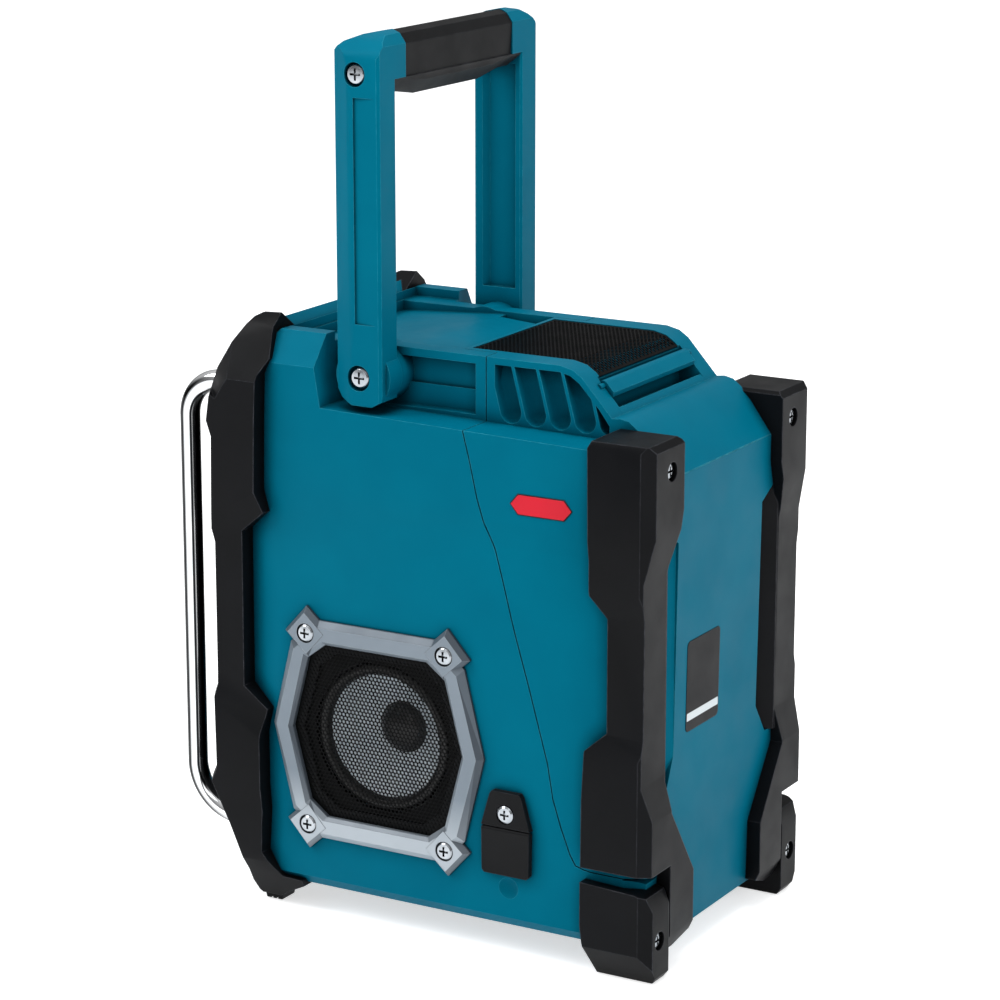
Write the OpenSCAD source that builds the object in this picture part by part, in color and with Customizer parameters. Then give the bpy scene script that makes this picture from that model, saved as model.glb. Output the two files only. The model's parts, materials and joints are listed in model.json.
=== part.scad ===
// Jobsite radio: two side speakers, a fold-down carrying handle, a drop-down rear battery door,
// corner bumpers, chrome guard bars and a front control panel.
// Frame: +Z up, front controls on -Y, battery door on +Y, speakers on +X and -X,
// origin on the floor under the middle of the radio. All lengths are in millimetres.

/* [Housing] */
// Width between the two speaker faces
body_w = 152; // [144:1:164]
// From the origin forward to the front face
front_d = 104; // [101:1:110]
// From the origin back to the rear face at its foot
rear_d = 127.5; // [126:0.5:130]
// Height of the housing's underside above the floor
underside = 14; // [13:0.5:16]
// Height where the side face breaks into the sloping shoulder
shoulder_z = 276.4; // [274:0.4:279]
// Height of the front block
top_z = 291.3; // [290:0.1:292.5]
// Height of the side ledge beside the battery door
ledge_z = 254; // [252:0.5:254.5]
// Width of the raised centre frame on top
frame_w = 108; // [104:1:110]
// Height of the centre frame
frame_z = 286.6; // [285:0.2:288]
// Thickness of the moulded walls
wall = 3; // [2.4:0.2:4]
// Width of the seam between the housing and the battery door
seam_gap = 0.5; // [0.4:0.1:0.8]

/* [Handle] */
// Height of the handle pivots
pivot_z = 273.5; // [273:0.5:275]
// Distance of the handle pivots in front of the origin
pivot_y = 26.3; // [25.5:0.1:27]
// From the pivots up to the top of the handle
handle_h = 162.7; // [156:0.1:172]
// Thickness of a handle arm
arm_t = 15.3; // [14.5:0.1:16]
// Clearance between a handle arm and its pivot boss
arm_gap = 0.3; // [0.3:0.1:0.6]
// Diameter of the handle pivot pins
pivot_d = 8; // [6:0.5:9]
// Diameter of the pivot boss on the housing
boss_d = 29; // [27:0.5:29.5]
// How far the pivot boss stands out of the centre frame
boss_out = 4.7; // [4:0.1:5]
// Radial clearance of every turning pin
pin_fit = 0.06; // [0.04:0.01:0.1]

/* [Battery door] */
// Height of the door hinge
hinge_z = 20; // [19.5:0.5:21]
// Distance of the door hinge in front of the rear face
hinge_inset = 9.5; // [9:0.5:10.5]
// Diameter of the door hinge pins
hinge_d = 5; // [4:0.5:6]
// Half the width of the door between the hinge feet
door_half = 60.5; // [58:0.5:61]
// Number of ribs in each side of the rear frame
rib_count = 4; // [3:1:4]
// Thickness of a rib
rib_t = 2; // [1.6:0.2:3]
// Thickness of the top mesh
mesh_t = 1.2; // [1:0.1:1.6]

/* [Bumpers and feet] */
// How far the bumpers stand out of the speaker faces
side_proud = 7.5; // [7:0.1:8.5]
// How far the rear bumpers stand behind the rear face
rear_proud = 8; // [7.6:0.1:8.4]
// How far the front bumpers stand before the front face
front_proud = 12; // [11:0.2:13]
// Diameter of the guard bars
bar_d = 10; // [8:0.5:11]
// Distance between the middles of the two guard bars
bar_pitch = 129; // [124:1:136]
// Height of the rubber pads under the front bumpers
pad_h = 3; // [2.4:0.1:4]

/* [Speakers] */
// Distance of the speakers in front of the origin
speaker_y = 15.8; // [14.4:0.2:17]
// Height of the speaker centres
speaker_z = 96.5; // [94:0.5:100]
// Outside width of the speaker bezel at its points
bezel_w = 119.2; // [116:0.2:121]
// Outside height of the speaker bezel without its lugs
bezel_h = 111; // [108:0.5:113]
// Width of the bezel ring
bezel_ring = 9.5; // [8.5:0.5:11]
// Thickness of the bezel
bezel_t = 4; // [3:0.2:5]
// Screw spacing of the bezel, front to back
bezel_pitch_y = 78; // [76:0.2:80]
// Screw spacing of the bezel, up and down
bezel_pitch_z = 97.7; // [95.5:0.2:99.5]
// Diameter of the bezel screw heads
screw_head_d = 9; // [8:0.2:10]
// Outside diameter of the speaker frame
speaker_d = 96; // [92:1:98]
// Diameter of the speaker cone
cone_d = 61.5; // [56:0.5:64]
// Diameter of the dust cap
cap_d = 26; // [22:1:30]

/* [Controls] */
// Width of the front control panel
panel_w = 98; // [94:1:102]
// Height of the underside of the control panel above the floor
panel_z = 118; // [114:1:122]
// Height of the control panel
panel_h = 142; // [138:1:143]
// Thickness of the control panel
panel_t = 4; // [3.5:0.5:5]
// Width of the display window
display_w = 74; // [60:1:80]
// Height of the display window
display_h = 38; // [30:1:40]
// Diameter of the volume knob
knob_d = 40; // [32:1:44]
// Length of the volume knob
knob_l = 14; // [12:0.5:16]
// Diameter of the encoder shaft
shaft_d = 6; // [5:0.5:7]
// Width of a push button
button_w = 17; // [14:0.5:18]
// Height of a push button
button_h = 9; // [8:0.5:10]
// Clearance round a push button
button_gap = 0.4; // [0.3:0.1:0.6]
// How far a push button stands out of the panel
button_out = 2.2; // [1.6:0.2:3]

/* [DC socket] */
// Distance of the DC socket cover behind the origin
dc_y = 56.6; // [55:0.2:58]
// Thickness of the rubber cover
dc_t = 3.4; // [3:0.2:4]

/* [Hidden] */
$fn = 48;

half_w = body_w / 2;
frame_half = frame_w / 2;
seat = 0.02;                        // parts of one body meet face to face; cuts overshoot by this
far = 400;                          // longer than anything here

// Colours
teal = [0.0, 0.42, 0.52];
black = [0.14, 0.14, 0.15];
rubber_black = [0.09, 0.09, 0.10];
silver = [0.62, 0.66, 0.70];
chrome = [0.85, 0.86, 0.88];
steel = [0.72, 0.73, 0.75];
board_green = [0.05, 0.32, 0.18];
copper = [0.80, 0.55, 0.25];

// Seam of the battery door on the side, from the top down: (y, z)
seam_y = 32;                        // where the seam crosses the centre frame
door_low_z = 50.6;                  // lowest point of the door's side walls
seam_points = [[seam_y + 0.3, ledge_z + 0.4], [35.5, 242.4], [39.7, 224.1], [43.5, 212.5], [49, 200.3],
    [53.2, 186.4], [60.4, 160.7], [67.7, 136.5], [77.9, 100.3], [80.9, 83.2], [85.3, 69.7], [90.2, 57.3],
    [93.1, 52.4], [97.8, 51.1], [102, door_low_z]];

// Rear deck: falls from the foot of the frame to the fold above the rear face
fold_y = rear_d + 2;
fold_z = ledge_z - 15;
frame_end_y = 98.7;
frame_end_z = frame_z - 22.6;
roof_y = 71;                        // from here the top of the centre frame falls in two steps
roof_low_y = 78;
function deck_z(y) = frame_end_z + (fold_z - frame_end_z) * (y - frame_end_y) / (fold_y - frame_end_y);
deck_side_y = frame_end_y + (ledge_z - frame_end_z) / (fold_z - frame_end_z) * (fold_y - frame_end_y);
function ledge_at(y) = ledge_z + 3.2 * (100.7 - y) / 148;
// a point of the crown, lifted above the straight line from the frame's end to the fold
function crown(t, lift) = [frame_end_y + t * (fold_y - frame_end_y),
    frame_end_z + t * (fold_z - frame_end_z) + lift];

// Handle
arm_in = frame_half + boss_out + arm_gap;      // inner face of an arm
arm_out = arm_in + arm_t;
arm_front = 14.7;                              // from the pivot forward to the arm's front face
arm_back = 12.6;                               // from the pivot back to the arm's rear face
handle_top = pivot_z + handle_h;
stub_in = arm_in - 9;                          // where the arm's top stub meets the grip
pin_in = frame_half - 6;                       // inner end of a handle pivot pin
head_d = 10.4;                                 // handle screw heads
head_depth = 3.2;                              // counterbore under a handle screw head

// Top details
rail_in = 42;                                  // inner wall of the rails
trough_in = rail_in + 2;                       // half the width of the trough in the top
tongue_half = rail_in + 1.5;
tongue_y = 14;
mesh_half = 40;
mesh_front = tongue_y + 2;
mesh_rear = frame_end_y - 14.5;
recess_y = -75;                                // front wall of the recess in the front block
recess_half = 58;
hub_r = 15;                                    // round hub of an arm about its pivot

// Latch bar
latch_y = frame_end_y - 11.4;
latch_z = frame_z - 10.3;
latch_r = 2.6;
latch_pin_d = 3;

// Bumper planes
bump_x = half_w + side_proud;
bump_y = rear_d + rear_proud;
bump_front = front_d + front_proud;
cap_z = pivot_z - arm_back - 0.6;              // top of the rear bumpers, under the folded arms

// Speaker parts
baffle_x = half_w - wall;
flange_t = 3;
basket_depth = 27;
magnet_t = 16;
screw_d = 4;

// Front controls
front_y = -front_d;
panel_y = front_y - panel_t;
board_y = front_y + 7;
board_t = 1.6;
display_z = panel_z + panel_h - 12 - display_h;
preset_z = display_z - 12;
knob_z = preset_z - 36;
flange_w = 1.2;                                // retaining rim of a button
button_x = 33;
preset_pitch = 21.5;

// Amplifier board
amp_half = 60;
amp_low = 152;
amp_high = 238;
amp_gap = 4.4;                                 // between the board and the front wall of the bay
amp_boss_x = 52;
amp_boss_in = 8;                               // from the board's edge to its screws

// Door hinge
hinge_y = rear_d - hinge_inset;
foot_front = 9;                                // from the hinge forward to the front of the door's foot
foot_sweep_r = norm([foot_front, hinge_z - underside]) + seam_gap;
sweep_r = door_low_z - hinge_z - 1;            // everything fixed near the hinge stays inside this
block_in = door_half + seam_gap;

// DC socket
dc_ridge_z = 63.4;
dc_jack_z = 52;
dc_thumb_z = 34;
dc_thumb_r = 7.5;
dc_thumb_depth = 2.2;

// ---------- helpers ----------
// outline in (y, z), extruded along X
module along_x(x0, x1) translate([x0, 0, 0]) rotate([90, 0, 90]) linear_extrude(x1 - x0) children();
// outline in (x, z), extruded along Y
module along_y(y0, y1) translate([0, y1, 0]) rotate([90, 0, 0]) linear_extrude(y1 - y0) children();
// outline in (x, y), extruded along Z
module along_z(z0, z1) translate([0, 0, z0]) linear_extrude(z1 - z0) children();
module both_sides() { children(); mirror([1, 0, 0]) children(); }
// a round bar along X between two x values
module bar_x(x0, x1, y, z, r) translate([x0, y, z]) rotate([0, 90, 0]) cylinder(h = x1 - x0, r = r);
// a round bar along Y between two y values
module bar_y(y0, y1, x, z, r) translate([x, y1, z]) rotate([90, 0, 0]) cylinder(h = y1 - y0, r = r);
// a block from its lowest to its highest corner
module block(lo, hi) translate(lo) cube(hi - lo);

// ---------- outer form of the closed radio ----------
fold_in = 1.2;                      // depth of the fold in the side faces
side_outline = [
    [front_y + 8, underside], [front_y, underside + 8], [front_y, 262], [-91.3, top_z - 0.3],
    [-88.5, top_z + 0.7], [-83, top_z + 2.7], [-78.4, top_z - 1.8], [-76.6, top_z - 1.8], [-74.8, top_z],
    [-49.3, top_z], [-50.4, shoulder_z], [-47.2, ledge_at(-47.2)],
    [100.7, ledge_z], [deck_side_y, ledge_z], [fold_y, fold_z],
    [rear_d + 0.1, 103], [rear_d + 1.1, 87], [rear_d, underside]];
// the centre frame with its crowned rear deck
frame_outline = [
    [seam_y, ledge_at(seam_y)], [seam_y, frame_z], [roof_y, frame_z], [roof_low_y, frame_z - 1.6],
    [roof_low_y + 4.9, frame_z - 4.8], [frame_end_y, frame_end_z + 0.4],
    crown(0.14, 4.4), crown(0.289, 7.1), crown(0.451, 7.3), crown(0.62, 6.6),
    [fold_y, fold_z], [deck_side_y, ledge_z], [100.7, ledge_z]];
rail_outline = [[-62, 250], [-62, frame_z], [seam_y, frame_z], [seam_y, 250]];

module side_view() along_x(-half_w, half_w) polygon(side_outline);
// right half of the front view; the side face has a shallow fold across its middle
half_front = [
    [half_w - 4, underside], [half_w, underside + 5], [half_w, 168], [half_w - fold_in, 203],
    [half_w, 214], [half_w, shoulder_z], [half_w - 10, top_z], [half_w - 13, top_z + 4]];
module front_view() along_y(-far, far) polygon(concat(
    half_front, [for (i = [len(half_front) - 1:-1:0]) [-half_front[i].x, half_front[i].y]]));
module plan_view() along_z(0, far) polygon([
    [half_w, front_y + 30], [half_w - 9, front_y - 1], [-half_w + 9, front_y - 1], [-half_w, front_y + 30],
    [-half_w, rear_d - 9], [-half_w + 6, fold_y + 1], [half_w - 6, fold_y + 1], [half_w, rear_d - 9]]);
module outer_form() intersection() {
    union() {
        difference() {
            side_view();
            block([-recess_half, recess_y, frame_z], [recess_half, -40, far]);
        }
        along_x(-frame_half, frame_half) polygon(rail_outline);
        along_x(-frame_half, frame_half) polygon(frame_outline);
    }
    front_view();
    plan_view();
}

// everything behind the side seam; grown by g towards the housing
module door_zone(g) {
    along_x(-far / 2, far / 2) polygon(concat(
        [[seam_y - g, far], [seam_y - g, ledge_at(seam_y)]],
        [for (p = seam_points) [p.x - g, p.y - g]],
        [[far, door_low_z - g], [far, far]]));
    block([-tongue_half - g, tongue_y - g, frame_z - 8 - g], [tongue_half + g, seam_y, far]);
}
// opening in the lower rear of the housing, filled by the foot of the door
module door_foot_zone(g)
    block([-door_half - g, hinge_y - foot_front - g, 0], [door_half + g, far, door_low_z + 1]);
// room for the front corner of the door's foot as the door swings
module foot_sweep_cut() bar_x(-door_half - seam_gap, door_half + seam_gap, hinge_y, hinge_z, foot_sweep_r);

// ---------- housing ----------
bay_y = seam_y;                     // front wall of the battery bay
module chamber() {
    intersection() {
        along_x(-half_w + wall, half_w - wall) polygon([
            [front_y + wall, underside + wall + 8], [front_y + wall + 8, underside + wall],
            [bay_y - 4, underside + wall], [bay_y - 4, ledge_z - 4], [-51, ledge_z - 4],
            [-56, ledge_z + 4], [-56, 268], [front_y + wall + 8, 268], [front_y + wall, 258]]);
        along_z(0, far) polygon([
            [half_w - wall, front_y + 31], [half_w - 10 - wall, front_y], [-half_w + 10 + wall, front_y],
            [-half_w + wall, front_y + 31], [-half_w + wall, far], [half_w - wall, far]]);
    }
}
module battery_bay() along_x(-half_w + wall, half_w - wall) polygon([
    [bay_y, underside + wall], [bay_y, ledge_z - 4], [far, ledge_z - 4],
    [far, underside + wall]]);
// room for the boards and the display behind the control panel
module control_room() block([-board_half - seam_gap, front_y + wall, board_low - seam_gap],
    [board_half + seam_gap, board_y + board_t + seam_gap, panel_z + panel_h - 8.5]);
module hinge_block() intersection() {
    block([block_in, hinge_y - 20, underside], [half_w - wall + seat, rear_d + 2, door_low_z - seam_gap]);
    outer_form();
}
module hinge_sweep_cut() difference() {
    block([block_in - 1, hinge_y, hinge_z], [far, far, far]);
    bar_x(0, far, hinge_y, hinge_z, sweep_r);
}
module trough_cut() {
    along_x(-trough_in, trough_in) polygon([
        [recess_y + 1, far], [recess_y + 1, frame_z - 5], [-16, frame_z - 1.4], [tongue_y - 1, frame_z - 3.6],
        [tongue_y - 1, frame_z - 7.4], [seam_y + 1, frame_z - 7.4], [seam_y + 1, far]]);
    // side pits next to the mesh
    both_sides() block([rail_in - 4, -14, frame_z - 8.6], [trough_in, tongue_y - 1 + seat, far]);
}
module pocket_cut() {
    block([frame_half - 5, -44, ledge_at(-44) + 1], [far, seam_y - 6, 269]);
    block([frame_half - 7, -44, 269 - seat], [far, seam_y - 6, frame_z - 4]);
}
module speaker_place() translate([half_w, -speaker_y, speaker_z]) rotate([90, 0, 90]) children();
// bezel opening in (front-back, up-down), shrunk by s
module bezel_opening(s = 0) {
    a = bezel_w / 2 - bezel_step - bezel_ring - s;
    b = bezel_h / 2 - bezel_step - bezel_ring - s;
    polygon([[a, 0], [a - 9.5, b - 7.6], [a - 19.5, b], [-a + 19.5, b], [-a + 9.5, b - 7.6], [-a, 0],
             [-a + 9.5, -b + 7.6], [-a + 19.5, -b], [a - 19.5, -b], [a - 9.5, -b + 7.6]]);
}
module bezel_screw_places() for (i = [-1, 1], j = [-1, 1])
    translate([i * bezel_pitch_y / 2, j * bezel_pitch_z / 2, 0]) children();
boss_len = 12;
module main_housing() color(teal) difference() {
    union() {
        difference() {
            outer_form();
            difference() {
                union() { chamber(); battery_bay(); control_room(); }
                both_sides() hinge_block();
            }
            trough_cut();
            both_sides() pocket_cut();
        }
        // bosses of the handle pivots
        both_sides() bar_x(frame_half - 10, frame_half + boss_out, -pivot_y, pivot_z, boss_d / 2);
        // bosses behind the bezel screws
        both_sides() speaker_place() bezel_screw_places() translate([0, 0, -wall - boss_len])
            cylinder(h = boss_len + seat, r = screw_d / 2 + 3);
        // bosses that carry the control board
        board_screw_places() bar_y(front_y + wall - seat, board_y, 0, 0, 3.5);
        // bosses that carry the amplifier board
        amp_screw_places() bar_y(amp_y, amp_y + amp_gap + seat, 0, 0, 4);
    }
    door_zone(seam_gap);
    door_foot_zone(seam_gap);
    both_sides() hinge_sweep_cut();
    foot_sweep_cut();
    both_sides() front_bar_path(bar_d / 2 + 0.05);
    // speaker openings, grille recess and screw bores
    both_sides() speaker_place() {
        translate([0, 0, -wall - 1]) linear_extrude(wall + 2) bezel_opening(2);
        translate([0, 0, -grille_t]) linear_extrude(grille_t + 1) bezel_opening(-3);
        bezel_screw_places() translate([0, 0, -wall - boss_len + 2]) cylinder(h = far, r = screw_d / 2 + 0.05);
        translate([0, 0, -wall - 6]) linear_extrude(6) circle(d = speaker_d + 0.4);
    }
    // handle pivots
    both_sides() bar_x(pin_in, far, -pivot_y, pivot_z, pivot_d / 2 + pin_fit);
    // opening behind the control panel
    block([-panel_w / 2 + 5, -far, panel_z + 6], [panel_w / 2 - 5, front_y + wall + 1, panel_z + panel_h - 6]);
    both_sides() bar_y(rear_d - 7, far, foot_screw_x, foot_screw_z, 1.85);
    // hinge pins
    both_sides() bar_x(0, block_in + 10, hinge_y, hinge_z, hinge_d / 2 + pin_fit);
    // DC socket
    bar_x(half_w - wall - 1, far, dc_y, dc_jack_z, 7);
    bar_x(half_w - wall - 1, far, dc_y, 72, 1.6);
    // fingertip recess under the DC cover
    translate([half_w + dc_thumb_r - dc_thumb_depth, dc_y, dc_thumb_z]) sphere(r = dc_thumb_r);
}

// ---------- front panel and controls ----------
module panel_outline() {
    w = panel_w / 2;
    polygon([[-w + 10, panel_z], [w - 10, panel_z], [w, panel_z + 14], [w, panel_z + panel_h - 12],
             [w - 8, panel_z + panel_h], [-w + 8, panel_z + panel_h], [-w, panel_z + panel_h - 12],
             [-w, panel_z + 14]]);
}
module button_outline(g) square([button_w + 2 * g, button_h + 2 * g], center = true);
module preset_places() for (i = [0:3]) translate([(i - 1.5) * preset_pitch, preset_z, 0]) children();
module side_places() for (i = [-1, 1], j = [0, 1])
    translate([i * button_x, knob_z + (j == 1 ? 12 : -12), 0]) children();
module front_panel() color(black) difference() {
    along_y(panel_y, front_y) difference() {
        panel_outline();
        translate([-display_w / 2, display_z]) square([display_w, display_h]);
        preset_places() button_outline(button_gap);
        side_places() button_outline(button_gap);
    }
    // recessed dial round the volume knob
    bar_y(panel_y - 1, panel_y + 0.8, 0, knob_z, knob_d / 2 + 1.5);
    bar_y(panel_y - 1, front_y + 1, 0, knob_z, shaft_d / 2 + 1.2);
}
module display_lens() color([0.25, 0.32, 0.34])
    block([-display_w / 2 + 0.1, panel_y + 0.6, display_z + 0.1],
          [display_w / 2 - 0.1, front_y, display_z + display_h - 0.1]);
module display_module() color([0.5, 0.56, 0.5]) difference() {
    block([-display_w / 2 - 3, front_y, display_z - 3], [display_w / 2 + 3, board_y, display_z + display_h + 3]);
    block([-display_w / 2 + 4, front_y - 1, display_z + 4],
          [display_w / 2 - 4, front_y + 0.6, display_z + display_h - 4]);
}
switch_h = 2.4;
board_half = panel_w / 2 + 4;
board_low = panel_z + 8;
board_high = panel_z + panel_h - 10;
module board_screw_places() for (i = [-1, 1], z = [board_low + 6, board_high - 6])
    translate([i * (board_half - 3), 0, z]) children();
module control_board() color(board_green) {
    difference() {
        block([-board_half, board_y, board_low], [board_half, board_y + board_t, board_high]);
        board_screw_places() bar_y(board_y - 1, board_y + board_t + 1, 0, 0, 1.3);
    }
    // one tact switch behind each button
    along_y(board_y - switch_h, board_y + seat) {
        preset_places() circle(d = 5);
        side_places() circle(d = 5);
    }
}
amp_y = bay_y - 4 - amp_gap;        // rear face of the amplifier board
module amp_screw_places() for (i = [-1, 1], z = [amp_low + amp_boss_in, amp_high - amp_boss_in])
    translate([i * amp_boss_x, 0, z]) children();
fin_count = 7;
fin_pitch = 5;
fin_t = 1.6;
module amplifier_board() color(board_green) {
    face_y = amp_y - board_t;
    difference() {
        block([-amp_half, face_y, amp_low], [amp_half, amp_y, amp_high]);
        amp_screw_places() bar_y(face_y - 1, amp_y + 1, 0, 0, 1.5);
    }
    // finned heat sink of the amplifier
    translate([-20, face_y, amp_low + 44]) {
        for (i = [0:fin_count - 1]) block([i * fin_pitch, -14, 0], [i * fin_pitch + fin_t, -2, 32]);
        block([0, -3, 0], [(fin_count - 1) * fin_pitch + fin_t, seat, 32]);
    }
    // reservoir capacitors and the output transformer
    for (i = [0:2]) bar_y(face_y - 16, face_y + seat, 24 + i * 12, amp_low + 24, 5);
    block([-46, face_y - 8, amp_low + 14], [-28, face_y + seat, amp_low + 32]);
}
module volume_encoder() color(steel) {
    block([-7, board_y - 5.5, knob_z - 7], [7, board_y, knob_z + 7]);
    bar_y(panel_y + 0.8, board_y - 5.5 + seat, 0, knob_z, shaft_d / 2 + 0.9);
    bar_y(panel_y - knob_l + 4, panel_y + 0.8 + seat, 0, knob_z, shaft_d / 2);
}
knob_ribs = 20;
module volume_knob() color(black) difference() {
    union() {
        bar_y(panel_y - 5, panel_y + 0.4, 0, knob_z, knob_d / 2);
        bar_y(panel_y - knob_l, panel_y - 5 + seat, 0, knob_z, knob_d / 2 - 2);
    }
    bar_y(panel_y - knob_l + 3.7, panel_y + 1, 0, knob_z, shaft_d / 2 + pin_fit);
    // finger flutes round the grip
    for (i = [0:knob_ribs - 1]) rotate_about_knob(i * 360 / knob_ribs)
        bar_y(panel_y - knob_l - 1, panel_y - 6.5, 0, knob_z + knob_d / 2 - 1.2, 1.6);
    // pointer groove
    block([-0.8, panel_y - knob_l - 1, knob_z + 6], [0.8, panel_y - knob_l + 0.8, knob_z + knob_d / 2 - 4]);
}
module rotate_about_knob(a) translate([0, 0, knob_z]) rotate([0, a, 0]) translate([0, 0, -knob_z]) children();
// a push button: cap, retaining rim behind the panel and a stem over its switch
module push_button() {
    along_y(panel_y - button_out, front_y + 0.4) button_outline(0);
    along_y(front_y + 0.3, front_y + 1.4) button_outline(flange_w);
    along_y(front_y + 1.3, board_y - switch_h - 1.5) circle(d = 4);
}
module preset_button(i) color(black) translate([(i - 1.5) * preset_pitch, 0, preset_z]) push_button();
module side_button(i, j) color(black) translate([i * button_x, 0, knob_z + 12 * j]) push_button();

// ---------- battery compartment ----------
module battery_terminal_block() color(black) difference() {
    y0 = bay_y;
    union() {
        block([-34, y0, 118], [34, y0 + 6, 208]);
        // guide rails that the battery slides on
        both_sides() along_z(126, 200) polygon([
            [22, y0 + 6 - seat], [28, y0 + 6 - seat], [28, y0 + 16], [17, y0 + 16], [17, y0 + 12], [22, y0 + 12]]);
    }
    for (i = [-1, 0, 1]) block([i * 9 - 0.9, y0 + 2, 140], [i * 9 + 0.9, y0 + 7, 172]);
}
module battery_contacts() color(copper) {
    y0 = bay_y;
    for (i = [-1, 0, 1]) difference() {
        block([i * 9 - 0.6, y0 + 2, 142], [i * 9 + 0.6, y0 + 14, 170]);
        block([i * 9 - 1, y0 + 10, 152], [i * 9 + 1, y0 + 15, 171]);
    }
}

// ---------- speakers ----------
// all drawn with the speaker's axis along +Z, front of the baffle at z = 0, going back to -Z
module speaker_on_baffle() translate([baffle_x, -speaker_y, speaker_z]) rotate([90, 0, 90]) children();
throat_r = cone_d / 2 + 7;
module basket() rotate_extrude() polygon([
    [throat_r, 0], [speaker_d / 2, 0], [speaker_d / 2, -flange_t], [speaker_d / 2 - 5, -flange_t],
    [30, -basket_depth + 3], [30, -basket_depth], [cap_d / 2 + 1, -basket_depth],
    [cap_d / 2 + 1, -basket_depth + 2], [28, -basket_depth + 2], [throat_r + 2, -flange_t - 1.2],
    [throat_r + 4, -flange_t], [throat_r, -flange_t]]);
module basket_windows() for (a = [0:60:300]) rotate(a + 30) translate([24, -7, -20]) cube([30, 14, 12]);
module speaker_basket() color(black) difference() { basket(); basket_windows(); }
module magnet() color(steel) translate([0, 0, -basket_depth - magnet_t]) difference() {
    union() {
        cylinder(h = magnet_t, r = 28);
        cylinder(h = 3, r = 30);
    }
    translate([0, 0, 3]) difference() {
        cylinder(h = magnet_t, r = cap_d / 2);
        cylinder(h = magnet_t, r = cap_d / 2 - 2.4);
    }
}
cone_back = -20;                    // depth of the cone's neck
roll_r = 3;                         // half-round surround of the cone
// front surface of the cone from the rim to the middle: (radius, height)
cone_front = concat(
    [[throat_r + 1.9, -flange_t], [throat_r - 0.4, -flange_t]],
    [for (a = [20:20:160]) [cone_d / 2 + 3.4 + roll_r * cos(a), -flange_t + roll_r * sin(a)]],
    [[cone_d / 2 + 0.2, -flange_t - 0.6], [cap_d / 2 + 0.4, cone_back]],
    [for (a = [75:-15:0]) [cap_d / 2 * sin(a), cone_back - 2.4 + 8 * cos(a)]]);
function back_of(p) = [p.x, p.y - 0.9];
module cone_profile() {
    n = len(cone_front);
    polygon(concat(cone_front, [for (i = [n - 1:-1:0]) back_of(cone_front[i])]));
}
module speaker_cone() color(silver) {
    rotate_extrude() cone_profile();
    // voice coil former
    translate([0, 0, -basket_depth - 4]) difference() {
        cylinder(h = basket_depth + 4 + cone_back + 0.2, r = cap_d / 2 - 0.5);
        translate([0, 0, -1]) cylinder(h = basket_depth + 8 + cone_back, r = cap_d / 2 - 1.5);
    }
}
grille_t = 1.4;
module speaker_grille() color([0.06, 0.06, 0.065]) translate([0, 0, -grille_t])
    linear_extrude(grille_t - 0.2) bezel_opening(-2.8);
lug_half = 8.2;
bezel_step = 2;                   // the rim is this much wider than the face
module lugs(half) for (i = [-1, 1], j = [-1, 1])
    translate([i * bezel_pitch_y / 2, j * bezel_pitch_z / 2]) rotate(i * j * 42) square(2 * half, center = true);
// outline of the bezel in (front-back, up-down), shrunk by s
module bezel_outline(s) {
    a = bezel_w / 2 - s;
    b = bezel_h / 2 - s;
    difference() {
        union() {
            polygon([[a, 0], [a - 10.7, b - 12.5], [a - 25, b], [-a + 25, b], [-a + 10.7, b - 12.5], [-a, 0],
                     [-a + 10.7, -b + 12.5], [-a + 25, -b], [a - 25, -b], [a - 10.7, -b + 12.5]]);
            lugs(lug_half + (bezel_step - s) * 0.6);
        }
        bezel_opening();
    }
}
module speaker_bezel() color(silver) difference() {
    union() {
        linear_extrude(bezel_t - 1.4) bezel_outline(0);
        linear_extrude(bezel_t - 0.8) bezel_outline(bezel_step);
        linear_extrude(bezel_t) difference() {
            lugs(lug_half);
            bezel_opening();
        }
        linear_extrude(bezel_t - 0.2) difference() {
            bezel_outline(bezel_step);
            for (i = [-1, 1], j = [-1, 1]) translate([i * bezel_pitch_y / 2, j * bezel_pitch_z / 2]) circle(r = 14);
        }
    }
    bezel_screw_places() {
        translate([0, 0, -1]) cylinder(h = far, r = screw_d / 2 + 0.1);
        translate([0, 0, bezel_t - 1.8]) cylinder(h = far, r = screw_head_d / 2 + 0.4);
    }
}
// a pan-head screw along -Z, with its head's underside at z = 0
module screw(head_r, head_h, shank_r, length) difference() {
    union() {
        rotate_extrude() polygon([[0, 0], [head_r, 0], [head_r, head_h * 0.55], [head_r * 0.8, head_h * 0.9],
                                  [head_r * 0.45, head_h], [0, head_h]]);
        translate([0, 0, -length]) cylinder(h = length + seat, r = shank_r);
    }
    for (a = [0, 90]) rotate(a) translate([-head_r * 0.55, -0.55, head_h * 0.35]) cube([head_r * 1.1, 1.1, head_h]);
}
module bezel_screws() color(chrome) both_sides() speaker_place() bezel_screw_places()
    translate([0, 0, bezel_t - 1.8]) screw(screw_head_d / 2, 2.4, screw_d / 2, bezel_t + wall + 6);

// ---------- DC socket and its rubber cover ----------
module dc_socket() color(black) difference() {
    union() {
        bar_x(half_w - wall - 8, half_w, dc_y, dc_jack_z, 6.9);
        block([half_w - wall - 12, dc_y - 8, dc_jack_z - 8], [half_w - wall, dc_y + 8, dc_jack_z + 8]);
    }
    difference() {
        bar_x(half_w - 10, far, dc_y, dc_jack_z, 2.9);
        bar_x(half_w - 11, half_w - 1, dc_y, dc_jack_z, 1);
    }
}
dc_x = half_w + dc_t;
module dc_cover_strap() color(rubber_black) difference() {
    along_x(half_w, dc_x) polygon([[dc_y - 13.2, dc_ridge_z + 1.9], [dc_y + 13.2, dc_ridge_z + 1.9],
        [dc_y + 8.6, 81.5], [dc_y + 7.4, 83], [dc_y - 7.4, 83], [dc_y - 8.6, 81.5]]);
    bar_x(half_w - 1, far, dc_y, 72, 1.7);
    bar_x(dc_x - 1, far, dc_y, 72, 5);
}
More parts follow.
